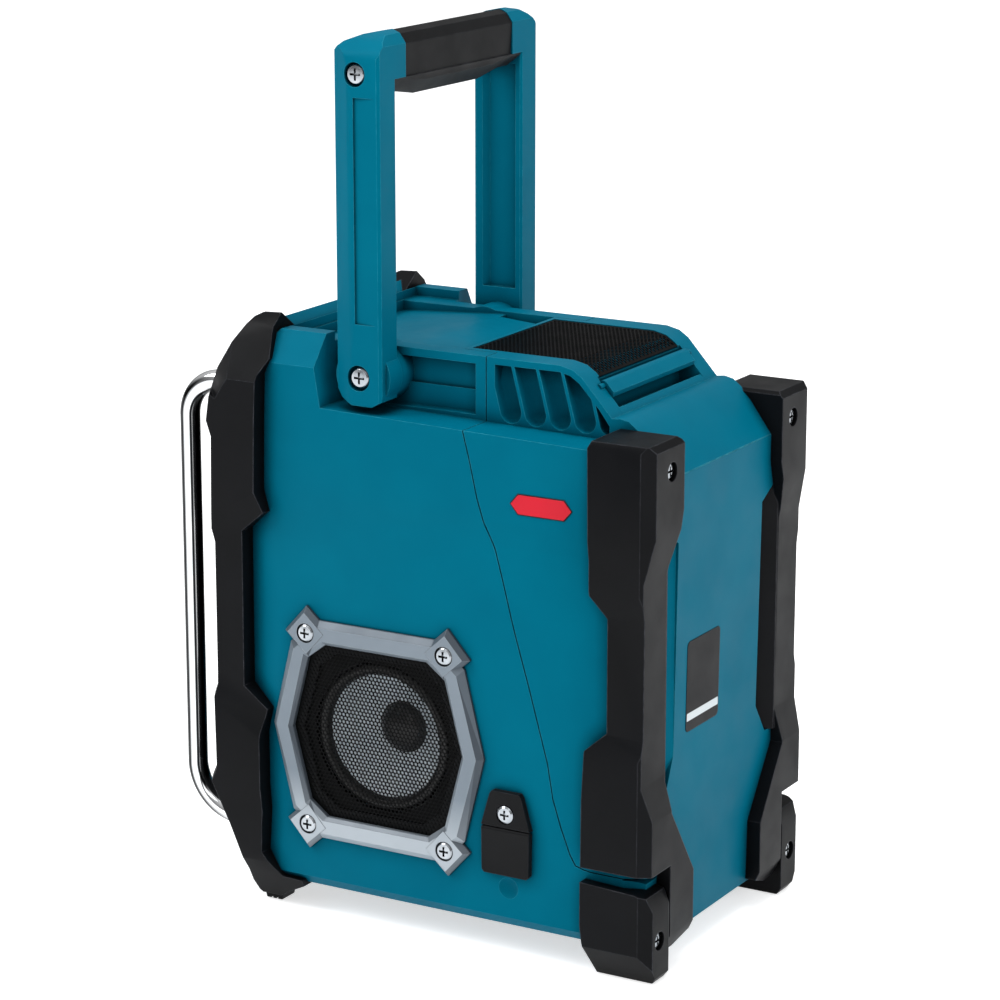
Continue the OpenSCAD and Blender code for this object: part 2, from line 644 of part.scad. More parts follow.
module dc_cover_screw() color(chrome) translate([dc_x - 1, dc_y, 72]) rotate([90, 0, 90])
    screw(4.3, 1.8, 1.5, dc_t + wall - 1);
module dc_cover_flap() color(rubber_black) {
    along_x(half_w + 0.3, dc_x + 0.2) polygon([[dc_y - 13, dc_ridge_z], [dc_y + 13, dc_ridge_z],
        [dc_y + 12.8, 42.8], [dc_y + 11.6, 41.4], [dc_y - 11.6, 41.4], [dc_y - 12.8, 42.8]]);
    // live hinge bead
    bar_y(dc_y - 13, dc_y + 13, dc_x - 1.1, dc_ridge_z, 1.4);
}

// ---------- bumpers, bars and feet ----------
lobe_in = 2.6;                      // how much the slim middle of a bumper is set back
// front of a front bumper in (y, z), from its foot up to its top
bumper_nose = [
    [-88, pad_h], [-89.4, pad_h + 1.4], [-93.4, 16.8], [-96.9, 23.6], [-bump_front + 11.7, 41.3],
    [-bump_front + 1.4, 61.7], [-bump_front + 4.6, 69], [-bump_front + 4, 106], [-bump_front + 6.2, 112],
    [-bump_front + 6.2, 184.5], [-bump_front + 4.3, 191.3], [-bump_front + 5.2, 238],
    [-bump_front + 2.5, 245.6], [-bump_front + 4.3, 257.6], [-bump_front + 9.2, 270.5],
    [-90.4, top_z + 4.5], [-87.1, top_z + 6.3]];
// the rest of its side view, from its top down the rear edge and along the underside
bumper_rear = [
    [-77, top_z + 7], [-77, top_z], [-74.6, 278.5], [-79.2, 270.4], [-80.2, 250.1], [-81.2, 213],
    [-77.5, 202.5], [-90, 192.3], [-90.4, 113.4], [-76.8, 103.3], [-80.5, 90], [-80.4, 62], [-79.2, 50.6],
    [-81.1, 28.5], [-71.5, underside + 2.5], [-60.3, underside + 2], [-60.3, underside - 1.5],
    [-70.3, pad_h + 4.3], [-77, pad_h]];
corner_turn = 31;                   // the nose turns back by this angle outside corner_x
corner_x = bump_x - 9;
module front_bumper() color(black) difference() {
    intersection() {
        along_x(40, far) polygon(concat(bumper_nose, bumper_rear));
        translate([corner_x, 0, 0]) rotate([0, 0, corner_turn]) along_x(-far, far) polygon(concat(
            [for (p = bumper_nose) [p.x * cos(corner_turn), p.y]], [[far, far], [far, 0], [-70, 0]]));
        along_y(-far, 0) polygon([
            [48, 10], [56, pad_h], [half_w - 5, pad_h], [bump_x - 2, 24], [bump_x, 45],
            [bump_x, 267.5], [69.9, top_z + 1.3],
            [62.4, top_z + 7], [50.8, top_z - 1.4], [54, 280], [54, 203], [56, 191], [56, 112],
            [54, 100], [46, 60], [46, 12]]);
    }
    // corner along the sloping front
    translate([0, -bump_front + 9.2, 270.5]) rotate([-34.2, 0, 0]) translate([0, 0, -9]) linear_extrude(60)
        polygon([[74.5, 0], [84.5, 12.2], [120, 50], [120, -50], [74.5, -50]]);
    slim_band();
    outer_form();
    front_bar_path(bar_d / 2 + 0.05);
}
// the slim middle of a front bumper, with sloping steps to the lobes above and below it
module slim_band() intersection() {
    block([bump_x - lobe_in, -far, 0], [far, 0, far]);
    translate([bump_x, -82.2, 87.5]) rotate([-34.7, 0, 0]) rotate([0, -11.3, 0])
        block([0, -far, 0], [far, far, far]);
    translate([bump_x, -82.2, 211.8]) rotate([28.3, 0, 0]) rotate([0, 14, 0])
        block([0, -far, -far], [far, far, 0]);
}
bar_x_mid = bar_pitch / 2;
bar_reach = bump_front + 14.47;     // middle of the bar before the origin
bar_end_y = front_y + wall - 1;     // the bar's ends sit in blind bores in the front wall
bar_top_z = 261.8;
bar_low_z = 39.2;
bend_top = 19;                      // bend radii on the bar's middle line
bend_low = 25;
// a bend from the vertical run to a level end; its plane is (y, z)
module bar_bend(r, bend, z, up) translate([bar_x_mid, -bar_reach + bend, z]) rotate([0, 90, 0])
    rotate(up == 1 ? 180 : 270) rotate_extrude(angle = 90) translate([bend, 0]) circle(r = r + 0.03);
module front_bar_path(r) {
    bar_y(-bar_reach + bend_top - 0.4, bar_end_y, bar_x_mid, bar_top_z, r);
    bar_bend(r, bend_top, bar_top_z - bend_top, 1);
    translate([bar_x_mid, -bar_reach, bar_low_z + bend_low - 0.4])
        cylinder(h = bar_top_z - bend_top - bar_low_z - bend_low + 0.8, r = r);
    bar_bend(r, bend_low, bar_low_z + bend_low, 0);
    bar_y(-bar_reach + bend_low - 0.4, bar_end_y, bar_x_mid, bar_low_z, r);
}
module guard_bar() color(chrome) front_bar_path(bar_d / 2);
module front_foot_pads() color(rubber_black) both_sides() difference() {
    along_x(58, half_w - 7) polygon([[-77.2, pad_h], [-78, 0], [-87, 0], [-87.8, pad_h]]);
    for (y = [-81, -84]) block([40, y - 0.6, -1], [far, y + 0.6, 0.8]);
}
// a point of a side view, d before the rear plane of the bumpers
function ahead(d, z) = [bump_y - d, z];
foot_in = block_in + 0.5;
module hinge_foot() color(black) difference() {
    intersection() {
        along_x(foot_in, far) polygon([ahead(37.1, 25), ahead(36.1, 17), ahead(32, 0), ahead(2.5, 0),
            ahead(0.2, 3), ahead(0.2, 37), ahead(3, 44), ahead(8.5, 45.6), ahead(37.1, 47)]);
        along_y(0, far) polygon([[foot_in, 0], [half_w - 2.5, 0], [half_w + 2, 8], [half_w + 6, 15],
            [half_w + 6, 48], [foot_in, 48]]);
        along_z(-1, far) polygon([[0, 0], [half_w + 6, 0], [half_w + 6, bump_y - 6.3], [half_w + 1.9, bump_y - 0.2],
            [0, bump_y - 0.2]]);
    }
    outer_form();
    bar_y(foot_seat_y, far, foot_screw_x, foot_screw_z, 4.6);
    bar_y(100, far, foot_screw_x, foot_screw_z, 1.9);
}
foot_screw_x = half_w - 5.1;
foot_screw_z = 21;
foot_seat_y = bump_y - 3.6;         // seat of the screw heads in the feet
module foot_screws() color(chrome) both_sides() translate([foot_screw_x, foot_seat_y, foot_screw_z])
    rotate([-90, 0, 0]) screw(4.2, 2.2, 1.8, foot_seat_y - rear_d + 6);
module hinge_pins() color(steel) both_sides() bar_x(door_half - 14, block_in + 10, hinge_y, hinge_z, hinge_d / 2);

// ---------- handle ----------
module handle_pivot_pins() color(chrome) both_sides() {
    bar_x(pin_in, arm_out - head_depth + arm_gap + seat, -pivot_y, pivot_z, pivot_d / 2);
    translate([arm_out - head_depth + arm_gap, -pivot_y, pivot_z]) rotate([90, 0, 90])
        screw(head_d / 2, 2.4, 1, 1);
}
module arm_section() polygon([
    [arm_in, -pivot_y - arm_front + 1], [arm_in + 1, -pivot_y - arm_front], [arm_out - 8.3, -pivot_y - arm_front],
    [arm_out - 4, -pivot_y - arm_front + 0.8], [arm_out, -pivot_y - arm_front + 9.8],
    [arm_out, -pivot_y + arm_back - 1.4], [arm_out - 1.2, -pivot_y + arm_back],
    [arm_in + 1, -pivot_y + arm_back], [arm_in, -pivot_y + arm_back - 1]]);
// side view of an arm, from its rounded foot to its top
module arm_side() along_x(0, far) polygon([
    [-pivot_y - arm_front, handle_top - 9.5], [-pivot_y - arm_front + 5, handle_top - 4.6],
    [-pivot_y - 2.7, handle_top - 1.6], [-pivot_y + 5.3, handle_top], [-pivot_y + 9.3, handle_top - 1.6],
    [-pivot_y + arm_back, handle_top - 6.2], [-pivot_y + arm_back, pivot_z - 7.5],
    [-pivot_y + arm_back - 0.3, pivot_z - 10.5], [-pivot_y + 7.3, pivot_z - 13.3],
    [-pivot_y - 3.7, pivot_z - 13.3], [-pivot_y - 10.7, pivot_z - 10.5], [-pivot_y - arm_front, pivot_z - 5.5]]);
stub_h = 22;
module handle_arm() color(teal) difference() {
    union() {
        intersection() {
            union() {
                along_z(pivot_z - 20, handle_top) arm_section();
                // stub that the grip butts against
                along_z(handle_top - stub_h, handle_top) polygon([
                    [stub_in, -pivot_y - arm_front], [arm_in + 4, -pivot_y - arm_front],
                    [arm_in + 4, -pivot_y + arm_back], [stub_in, -pivot_y + arm_back]]);
            }
            arm_side();
            along_y(-far, far) polygon([
                [0, 0], [arm_out, 0], [arm_out, handle_top - 11.5], [arm_out - 1.8, handle_top - 8],
                [arm_out - 6.3, handle_top - 4], [arm_out - 12.3, handle_top - 1.2],
                [arm_out - 19.3, handle_top], [0, handle_top]]);
        }
        bar_x(arm_in, arm_in + 11, -pivot_y, pivot_z, hub_r);
    }
    // shallow channel in the outer face and deep one in the inner face
    along_z(pivot_z + 26, handle_top - 30) polygon([
        [arm_out - 0.9, -pivot_y - 1.5], [far, -pivot_y - 4], [far, -pivot_y + 10], [arm_out, -pivot_y + 10]]);
    along_z(pivot_z + 22, handle_top - 28) polygon([
        [arm_in - 1, -pivot_y - arm_front + 4], [arm_in + 3, -pivot_y - arm_front + 7.5],
        [arm_in + 3, -pivot_y + arm_back - 4], [arm_in - 1, -pivot_y + arm_back - 3.4]]);
    // pivot bore and its counterbore
    bar_x(0, far, -pivot_y, pivot_z, pivot_d / 2 + pin_fit);
    bar_x(arm_out - head_depth, far, -pivot_y, pivot_z, head_d / 2 + 1);
    // socket and screw of the core bar
    bar_x(0, arm_in + 5, grip_y, grip_z, core_d / 2 + 0.05);
    bar_x(0, far, grip_y, grip_z, 2.1);
    bar_x(arm_out - head_depth, far, grip_y, grip_z, head_d / 2 + 0.6);
}
core_d = 14;
grip_y = -pivot_y - 0.7;
grip_z = handle_top - 19.2;
module handle_core() color(steel) difference() {
    bar_x(-arm_in - 5, arm_in + 5, grip_y, grip_z, core_d / 2);
    both_sides() bar_x(arm_in - 12, far, grip_y, grip_z, 1.8);
}
module handle_screws() color(chrome) both_sides() translate([arm_out - head_depth, grip_y, grip_z])
    rotate([90, 0, 90]) screw(head_d / 2, 2.4, 1.7, arm_t - head_depth + 10);
// grip section in (y, z); the belly hangs b lower in the middle of the grip
module grip_section(b) polygon([
    [-pivot_y + arm_back - 0.4, handle_top - 6.6], [-pivot_y + 9.1, handle_top - 2], [-pivot_y + 5.3, handle_top - 0.4],
    [-pivot_y - 2.7, handle_top - 2], [-pivot_y - 9.7, handle_top - 5], [-pivot_y - arm_front + 0.4, handle_top - 9.9],
    [-pivot_y - arm_front + 0.4, handle_top - stub_h], [-pivot_y - 6, handle_top - 29 - b],
    [-pivot_y + 4, handle_top - 29 - b], [-pivot_y + arm_back - 1.2, handle_top - 23.5 - b / 2]]);
module grip_slice(x, b) translate([x - 0.05, 0, 0]) rotate([90, 0, 90]) linear_extrude(0.1) grip_section(b);
module handle_grip() color(rubber_black) difference() {
    union() {
        hull() { grip_slice(-30, 3.4); grip_slice(30, 3.4); }
        both_sides() hull() { grip_slice(30, 3.4); grip_slice(stub_in - 0.05, 0); }
        // belly under the stubs of the arms
        along_x(-arm_in, arm_in) polygon([
            [-pivot_y - arm_front + 0.4, handle_top - stub_h], [-pivot_y - 6, handle_top - 29],
            [-pivot_y + 4, handle_top - 29], [-pivot_y + arm_back - 1.2, handle_top - 23.5],
            [-pivot_y + arm_back - 0.4, handle_top - stub_h]]);
    }
    bar_x(-far, far, grip_y, grip_z, core_d / 2);
}

// ---------- battery door ----------
module door_inside() along_x(-half_w + wall, half_w - wall) polygon([
    [0, underside + wall], [0, ledge_z - wall + 0.2], [deck_side_y - 1, ledge_z - wall],
    [fold_y - wall - 0.6, fold_z - 2], [rear_d - wall, door_low_z], [rear_d - wall, underside + wall]]);
module knuckle() {
    bar_x(door_half - 17, door_half, hinge_y, hinge_z, 5.5);
    block([door_half - 17, hinge_y, underside + 0.5], [door_half, rear_d - 1, hinge_z + 5]);
}
module battery_door() color(teal) difference() {
    union() {
        difference() {
            intersection() {
                side_view();
                front_view();
                plan_view();
                union() {
                    door_zone(0);
                    door_foot_zone(0);
                }
            }
            difference() {
                door_inside();
                block([-far, 0, ledge_z - wall], [far, far, far]);
            }
            along_x(-half_w + wall, half_w - wall) polygon([
                [0, ledge_z - wall - 1], [0, ledge_z - wall], [deck_side_y - 1, ledge_z - wall],
                [fold_y - wall - 0.6, fold_z - 2], [100, 200]]);
        }
        both_sides() knuckle();
        // thicker wall behind the channels
        both_sides() block([channel_in - 3, channel_y - 3, channel_low - 3], [65, rear_d - 1, channel_top + 3]);
    }
    both_sides() channel_zone();
    both_sides() bar_x(door_half - 14, far, hinge_y, hinge_z, hinge_d / 2 + pin_fit);
}
// a point of a side view, d before the end of the centre frame and h above it
function from_end(d, h) = [frame_end_y - d, frame_end_z + h];
module flutes() {
    pitch = (rib_last_y - rib_first_y) / (rib_count - 1);
    w = pitch - rib_t;
    for (i = [0:rib_count]) translate([frame_half - 3, rib_first_y + (i - 0.5) * pitch, frame_end_z - 2.5])
        rotate([flute_lean, 0, 0]) {
            sphere(r = w / 2);
            cylinder(h = 40, r = w / 2);
            translate([0, -w / 2, 0]) cube([20, w, 40]);
            rotate([0, 90, 0]) cylinder(h = 20, r = w / 2);
        }
}
flute_lean = 14.6;                  // the ribs lean forward
rib_first_y = 51.7;
rib_last_y = 91.4;
module door_top_frame() color(teal) difference() {
    union() {
        along_x(-frame_half, frame_half) polygon(frame_outline);
        block([-tongue_half, tongue_y, frame_z - 7], [tongue_half, seam_y + 1, frame_z]);
    }
    // hollow under the mesh
    block([-rail_in + 1, seam_y + 4, ledge_z + 5], [rail_in - 1, 80, frame_z - 4]);
    block([-mesh_half + 3, mesh_front + 3, frame_z - 4 - seat], [mesh_half - 3, 76, far]);
    block([-mesh_half + 3, mesh_front + 3, frame_z - 8], [mesh_half - 3, 40, far]);
    // seat of the mesh
    along_x(-mesh_half, mesh_half) polygon(mesh_outline(far, mesh_t));
    // finger slot and the space of the latch bar
    along_x(-rail_in, rail_in) polygon([
        [mesh_rear, far], from_end(14.5, 15), from_end(14.7, -2), from_end(8.7, -2.5), from_end(5.2, 1.6),
        from_end(3, 3.1), from_end(1.1, 1.6), from_end(0, 0.4), [frame_end_y, far]]);
    both_sides() bar_x(0, rail_in + 4, latch_y, latch_z, latch_pin_d / 2 + pin_fit);
    both_sides() intersection() {
        flutes();
        along_x(0, far) polygon([[seam_y + 4.4, 0], [seam_y + 4.4, frame_z - 3.4], [roof_y, frame_z - 3.2],
            [roof_low_y - 1.5, frame_z - 4.4], [roof_low_y + 3.4, frame_z - 7.6], from_end(6.5, 3.6),
            from_end(1.2, -3.4), [frame_end_y - 1.2, 0]]);
    }
}
// mesh outline in (y, z), from up over the seat down to its underside
function mesh_outline(up, lower) = [
    [mesh_front, frame_z - 0.4 - lower], [roof_y, frame_z - 0.4 - lower], [roof_low_y, frame_z - 2 - lower],
    [mesh_rear, frame_z - 6.4 - lower], [mesh_rear, frame_z - 6.4 + up], [roof_low_y, frame_z - 2 + up],
    [roof_y, frame_z - 0.4 + up], [mesh_front, frame_z - 0.4 + up]];
module top_mesh() color([0.12, 0.12, 0.13]) along_x(-mesh_half + 0.1, mesh_half - 0.1)
    polygon(mesh_outline(0, mesh_t));
module door_latch() color(teal) difference() {
    union() {
        bar_x(-rail_in + 0.4, rail_in - 0.4, latch_y, latch_z, latch_r);
        along_x(-rail_in + 0.4, rail_in - 0.4) polygon([
            [latch_y + 1.9, latch_z + 1.8], [latch_y + 5.6, latch_z - 2.6], [latch_y + 5, latch_z - 4.8],
            [latch_y + 2.6, latch_z - 4.6], [latch_y - 1.8, latch_z - 1.8]]);
    }
    both_sides() bar_x(rail_in - 6, far, latch_y, latch_z, latch_pin_d / 2 + pin_fit);
}
module latch_pins() color(steel) both_sides()
    bar_x(rail_in - 5.7, rail_in + 4, latch_y, latch_z, latch_pin_d / 2);

channel_in = 44.2;                  // channel between the rear panel and each bumper
channel_y = rear_d - 3.8;
channel_low = 88;
channel_top = 214;
module channel_zone() intersection() {
    along_y(channel_y, far) polygon([[channel_in, channel_low + 15], [channel_in, channel_top - 7],
        [57, channel_top], [60.6, channel_top], [60.6, channel_low], [53, channel_low]]);
    along_z(0, far) polygon([[channel_in, far], [channel_in, rear_d], [52, channel_y], [60.6, channel_y], [60.6, far]]);
}
module rear_bumper() {
    bumper_lobes();
    bumper_flank();
}
module bumper_lobes() color(black) difference() {
    union() {
        intersection() {
            along_x(30, far) polygon([
                ahead(36.1, 52.5), ahead(35.8, 88), ahead(34.5, 112.5), ahead(23.9, 122), ahead(23.9, 177),
                ahead(32.5, 187.5), ahead(32.5, 204), ahead(33.3, 213), ahead(33.7, cap_z - 3.2),
                ahead(32.3, cap_z), ahead(3, cap_z), ahead(0, cap_z - 3), ahead(0, 217), ahead(4.6, 196),
                ahead(4.8, 98), ahead(0.2, 82), ahead(0.2, hinge_z), ahead(4.5, hinge_z - 9.2),
                ahead(11.5, hinge_z - 9.2), ahead(11.5, 52.5)]);
            along_y(0, far) polygon([
                [52, cap_z - 1.5], [54, cap_z], [bump_x - 1.6, cap_z], [bump_x, cap_z - 3.2],
                [bump_x, 190], [bump_x - lobe_in, 178], [bump_x - lobe_in, 121], [bump_x, 111],
                [bump_x, 55], [door_half, 55], [door_half, 15], [door_half - 2.5, hinge_z - 9.2],
                [50, hinge_z - 9.2], [36.5, 15.5], [36.5, 46], [60, 81], [59.5, 100], [59.5, 200],
                [52, 226], [52, 250]]);
            along_z(0, far) polygon([
                [30, bump_y], [bump_x - 4.1, bump_y], [bump_x, bump_y - 6.3], [bump_x, 0], [30, 0]]);
        }
    }
    outer_form();
    bar_y(bump_y - 3.4, far, bump_screw_x, bump_screw_z, 4.6);
    bar_y(100, far, bump_screw_x, bump_screw_z, 1.9);
}
// flank of the slim middle, standing in the channel beside the rear panel
module bumper_flank() color(black) intersection() {
    along_z(channel_low, channel_top) polygon([[52.5, channel_y], [58.4, bump_y - 4.8], [60.6, bump_y - 4.8],
        [60.6, channel_y]]);
    channel_zone();
}
bump_screw_x = half_w - 12;
bump_screw_z = 246;
module rear_bumper_screws() color(chrome) both_sides() translate([bump_screw_x, bump_y - 3.4, bump_screw_z])
    rotate([-90, 0, 0]) screw(4.2, 2.2, 1.8, 6);

// ---------- the parts ----------
main_housing();
front_panel();
display_lens();
display_module();
control_board();
amplifier_board();
battery_terminal_block();
battery_contacts();
volume_encoder();
speaker_on_baffle() speaker_basket();  // speaker_basket_right
mirror([1, 0, 0]) speaker_on_baffle() speaker_basket();  // speaker_basket_left
speaker_on_baffle() magnet();  // speaker_magnet_right
mirror([1, 0, 0]) speaker_on_baffle() magnet();  // speaker_magnet_left
speaker_on_baffle() speaker_cone();  // speaker_cone_right
mirror([1, 0, 0]) speaker_on_baffle() speaker_cone();  // speaker_cone_left
speaker_place() speaker_grille();  // speaker_grille_right
mirror([1, 0, 0]) speaker_place() speaker_grille();  // speaker_grille_left
speaker_place() speaker_bezel();  // speaker_bezel_right
mirror([1, 0, 0]) speaker_place() speaker_bezel();  // speaker_bezel_left
bezel_screws();
front_bumper();  // front_bumper_right
mirror([1, 0, 0]) front_bumper();  // front_bumper_left
guard_bar();  // guard_bar_right
mirror([1, 0, 0]) guard_bar();  // guard_bar_left
hinge_foot();  // hinge_foot_right
mirror([1, 0, 0]) hinge_foot();  // hinge_foot_left
foot_screws();
front_foot_pads();
hinge_pins();
handle_pivot_pins();
dc_socket();
dc_cover_strap();
dc_cover_screw();
handle_arm();  // handle_arm_right
mirror([1, 0, 0]) handle_arm();  // handle_arm_left
handle_core();
handle_grip();
handle_screws();
battery_door();
door_top_frame();
top_mesh();
rear_bumper();  // rear_bumper_right
mirror([1, 0, 0]) rear_bumper();  // rear_bumper_left
rear_bumper_screws();
latch_pins();
door_latch();
volume_knob();
side_button(-1, 1);  // button_power
side_button(1, 1);  // button_source
side_button(-1, -1);  // button_down
side_button(1, -1);  // button_up
preset_button(0);  // button_preset_1
preset_button(1);  // button_preset_2
preset_button(2);  // button_preset_3
preset_button(3);  // button_preset_4
dc_cover_flap();
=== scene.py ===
import json
import math

import bmesh
import bpy
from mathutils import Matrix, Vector
from mathutils.bvhtree import BVHTree


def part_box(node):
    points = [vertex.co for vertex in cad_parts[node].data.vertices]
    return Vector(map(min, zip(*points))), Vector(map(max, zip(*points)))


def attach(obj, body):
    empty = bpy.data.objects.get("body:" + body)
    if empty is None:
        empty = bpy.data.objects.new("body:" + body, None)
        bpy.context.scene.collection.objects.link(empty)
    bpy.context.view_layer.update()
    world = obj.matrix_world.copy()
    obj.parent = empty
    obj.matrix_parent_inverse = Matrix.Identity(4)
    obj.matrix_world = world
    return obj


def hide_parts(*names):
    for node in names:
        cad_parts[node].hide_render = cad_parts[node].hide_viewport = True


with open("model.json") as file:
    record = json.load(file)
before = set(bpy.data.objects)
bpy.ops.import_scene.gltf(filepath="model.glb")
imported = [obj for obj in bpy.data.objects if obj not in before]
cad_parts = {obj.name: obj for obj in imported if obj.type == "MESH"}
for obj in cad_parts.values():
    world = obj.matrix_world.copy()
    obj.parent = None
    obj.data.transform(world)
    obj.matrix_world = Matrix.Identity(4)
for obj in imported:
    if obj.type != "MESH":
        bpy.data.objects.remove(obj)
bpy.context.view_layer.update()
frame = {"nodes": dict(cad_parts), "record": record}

# Jobsite radio: finishes of the CAD pieces, the faceted speaker bezels, the perforated grilles and
# top mesh, the bare plates, and the studio. All lengths are in metres. Colours are hex codes, or
# linear values in brackets.
NODES = frame["nodes"]
MM = 0.001
SIDES = {"right": 1, "left": -1}
WHITE = (1.0, 1.0, 1.0, 1.0)

# ---------- sizes ----------
# Perforated sheets.
PITCH = 2.15 * MM                    # between neighbouring holes
ROW = PITCH * math.sqrt(3) / 2       # between rows of holes
HOLE_R = 0.87 * MM
SHEET_T = 0.4 * MM
MESH_MARGIN = 1.1 * MM               # plain edge of the top mesh

# Speaker bezels, in (front-back, up-down) about the speaker's centre.
grille_low, grille_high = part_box("speaker_grille_right")
bezel_low, bezel_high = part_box("speaker_bezel_right")
SPEAKER = (grille_low + grille_high) / 2
GRILLE_HALF = ((grille_high.y - grille_low.y) / 2, (grille_high.z - grille_low.z) / 2)
BEZEL_X = bezel_low.x
BEZEL_T = bezel_high.x - bezel_low.x
BEZEL_HALF = (119.2 / 2 * MM, 111 / 2 * MM)
BEZEL_KNEE = (10.7 * MM, 12.5 * MM)  # corner between the frame's side and its cut corner
BEZEL_END = 25.0 * MM                # where the cut corner meets the top
OVERLAP = 2.8 * MM                   # how far the CAD grille runs under the bezel
OPENING_KNEE = (9.5 * MM, 7.6 * MM)
OPENING_END = 19.5 * MM
BEZEL_SLOPE = 3.0 * MM               # width of the sloping facet round the frame
BEZEL_LIP = 1.8 * MM                 # width of the one round the opening
BEZEL_SOFT = 0.3 * MM                # rounding of its edges
LUG_AT = (39.0 * MM, 48.85 * MM)     # screw lugs, from the middle
LUG_TURN = 42                        # degrees
LUG_FOOT = 9.3 * MM                  # half width of a lug at the wall
LUG_HEAD = 7.2 * MM                  # and at its top
POCKET_R = 4.9 * MM                  # round each screw head
# Heights on a bezel, as shares of its thickness.
WALL_TOP = 0.32
FRAME_TOP = 0.95
LIP_FOOT = 0.55
LUG_WALL = 0.35
LUG_TOP = 0.995
POCKET_FLOOR = 0.52
HOLLOW_START = 0.54
CLEAR = 2.0                          # beyond the solid, for cutters

UNDER_BEZEL = 1.5 * MM               # how far the grille and its gasket run under the bezel
GASKET_IN = -4.5 * MM                # inner edge of the gasket, from the opening
HOLE_FIELD = -1.0 * MM               # edge of the perforated field, from the opening

CONE_R = 30.75 * MM
CAP_R = 13.0 * MM
COLOUR_STEP = 0.1 * MM               # half width of the change from one colour to the next

# Plates on the battery door.
PLATE_T = 0.25 * MM
PLATE_LIFT = PLATE_T * 0.6           # of a face above its rim or ground
LABEL_BOX = (-1.7 * MM, 32.4 * MM, 111.0 * MM, 155.8 * MM)    # left, right, bottom, top
LABEL_R = 2.6 * MM
STRIP_IN = 0.8 * MM                  # strip on the label, from its sides
STRIP_UP = (5.4 * MM, 9.2 * MM)      # strip's foot and top, from the label's foot
STRIP_R = 0.4 * MM
BADGE_AT = (73.8 * MM, 223.9 * MM)
BADGE_RIM = (16.6 * MM, 5.1 * MM, 4.2 * MM)     # half length, half height, point
BADGE_FACE = (16.0 * MM, 4.6 * MM, 4.0 * MM)
OUTSIDE = 0.3                        # a plane outside the door, to look at it from

SMOOTH_ANGLE = math.radians(28)      # rounder than this is shaded smooth
SAME_POINT = 0.002 * MM

# Noise scales, in cells a metre.
FLOOR_CLOUDS = 3.0
CLOUDS = 22.0                        # paler and darker zones of a moulding
HANDLING = 60.0                      # zones that hands have polished
SMEARS = 70.0
METAL_CLOUDS = 90.0
EDGE_BREAKS = 160.0                       # breaks in the paler line along an edge, which is partly wear and partly a painted highlight
SMUDGES = 240.0
PAPER = 400.0                        # mottle of the speaker's cone
# Bands a metre.
CONE_RINGS = 260.0
DISPLAY_LINES = 900.0

# Ranges in which a measure of the surface turns into a mask, from none to full.
SHARP_EDGE = (0.88, 0.995)           # likeness of the flat and the rounded normal, full at the low end
OPEN_AIR = (0.35, 0.95)              # share of the sky that a point sees, the mask of the painted shade in corners
EDGE_BREAK_RANGE = (0.4, 0.62)            # noise that breaks that paler edge line
LOW_BAR = (50.0 * MM, 75.0 * MM)     # height at which the painted highlight on the bezel's low bar ends, full at the low end
ROOF_FACET = (0.15, 0.45)            # upward part of the normal, for painted shade on the bezel
REAR_FACET = (0.35, 0.62)            # backward part of the normal, for painted shade on the bezel
CHROME_TOP = (0.35, 0.60)            # upward part of the normal, for the chrome's painted highlight
CHROME_UNDER = (-0.75, -0.50)        # the same, for the chrome's painted dark reflection underneath, full at the low end

# Studio.
LOW_FILL = 0.20                      # light of the room at the level
HIGH_FILL = 0.80                     # and overhead
WHITE_FLOOR = 0.6                    # what the floor adds where it is seen, straight or mirrored
FLOOR_SIZE = 24.0
FLOOR_DROP = 0.5 * MM
EYE = (1.4077, 0.8208, 0.6196)       # the camera
EYE_BACK = (0.8388, 0.4843, 0.2487)  # from what it looks at, back to it
LENS = 123.12                        # mm, as is the sensor
SENSOR = 36.0
FAR = 60.0
AIM = (0.0, 0.0, 0.18)               # what the lamps look at
# Name, place, size and power of each lamp.
LAMPS = (("key", (1.1, -1.6, 2.0), (1.2, 1.2), 28.0),
         ("side", (2.2, 0.4, 1.1), (1.0, 1.4), 6.0),
         ("rear", (0.6, 2.4, 1.3), (1.4, 1.2), 20.0),
         ("top", (0.4, 0.2, 2.2), (1.2, 1.2), 18.0))


# ---------- node helpers ----------
def srgb(code):
    """Linear colour of a six-digit hex code."""
    parts = [int(code[i:i + 2], 16) / 255 for i in (0, 2, 4)]
    linear = [c / 12.92 if c <= 0.04045 else ((c + 0.055) / 1.055) ** 2.4 for c in parts]
    return (*linear, 1.0)


class Nodes:
    """Short ways to add nodes to a tree; most give the output socket to go on from.

    Wherever a value goes in, it is an output socket, a hex colour or a plain value.
    """

    def __init__(self, tree):
        self.tree = tree

    def feed(self, entry, value):
        """Link or set an input socket."""
        if isinstance(value, bpy.types.NodeSocket):
            self.tree.links.new(value, entry)
        elif isinstance(value, str):
            entry.default_value = srgb(value)
        else:
            entry.default_value = value

    def node(self, kind, inputs=None, **settings):
        made = self.tree.nodes.new(kind)
        for key, value in settings.items():
            setattr(made, key, value)
        for entry, value in (inputs or {}).items():
            self.feed(made.inputs[entry], value)
        return made

    def math(self, operation, *values):
        return self.node("ShaderNodeMath", dict(enumerate(values)), operation=operation).outputs["Value"]

    def vector_math(self, operation, *values):
        """The node itself, because its result is a Vector or a Value."""
        return self.node("ShaderNodeVectorMath", dict(enumerate(values)), operation=operation)

    def spread(self, source, low, high, start=0.3, end=0.7):
        """A value that runs from low to high as the source runs from start to end."""
        inputs = {"Value": source, "From Min": start, "From Max": end, "To Min": low, "To Max": high}
        return self.node("ShaderNodeMapRange", inputs).outputs["Result"]

    def mix(self, first, second, factor):
        """A mix of two colours; the sockets of a colour mix are only known by their numbers."""
        return self.node("ShaderNodeMix", {0: factor, 6: first, 7: second}, data_type="RGBA").outputs[2]

    def axes(self, vector):
        """Outputs X, Y and Z of a vector."""
        return self.node("ShaderNodeSeparateXYZ", {"Vector": vector}).outputs

    def joined(self, x, y, z):
        return self.node("ShaderNodeCombineXYZ", {"X": x, "Y": y, "Z": z}).outputs["Vector"]


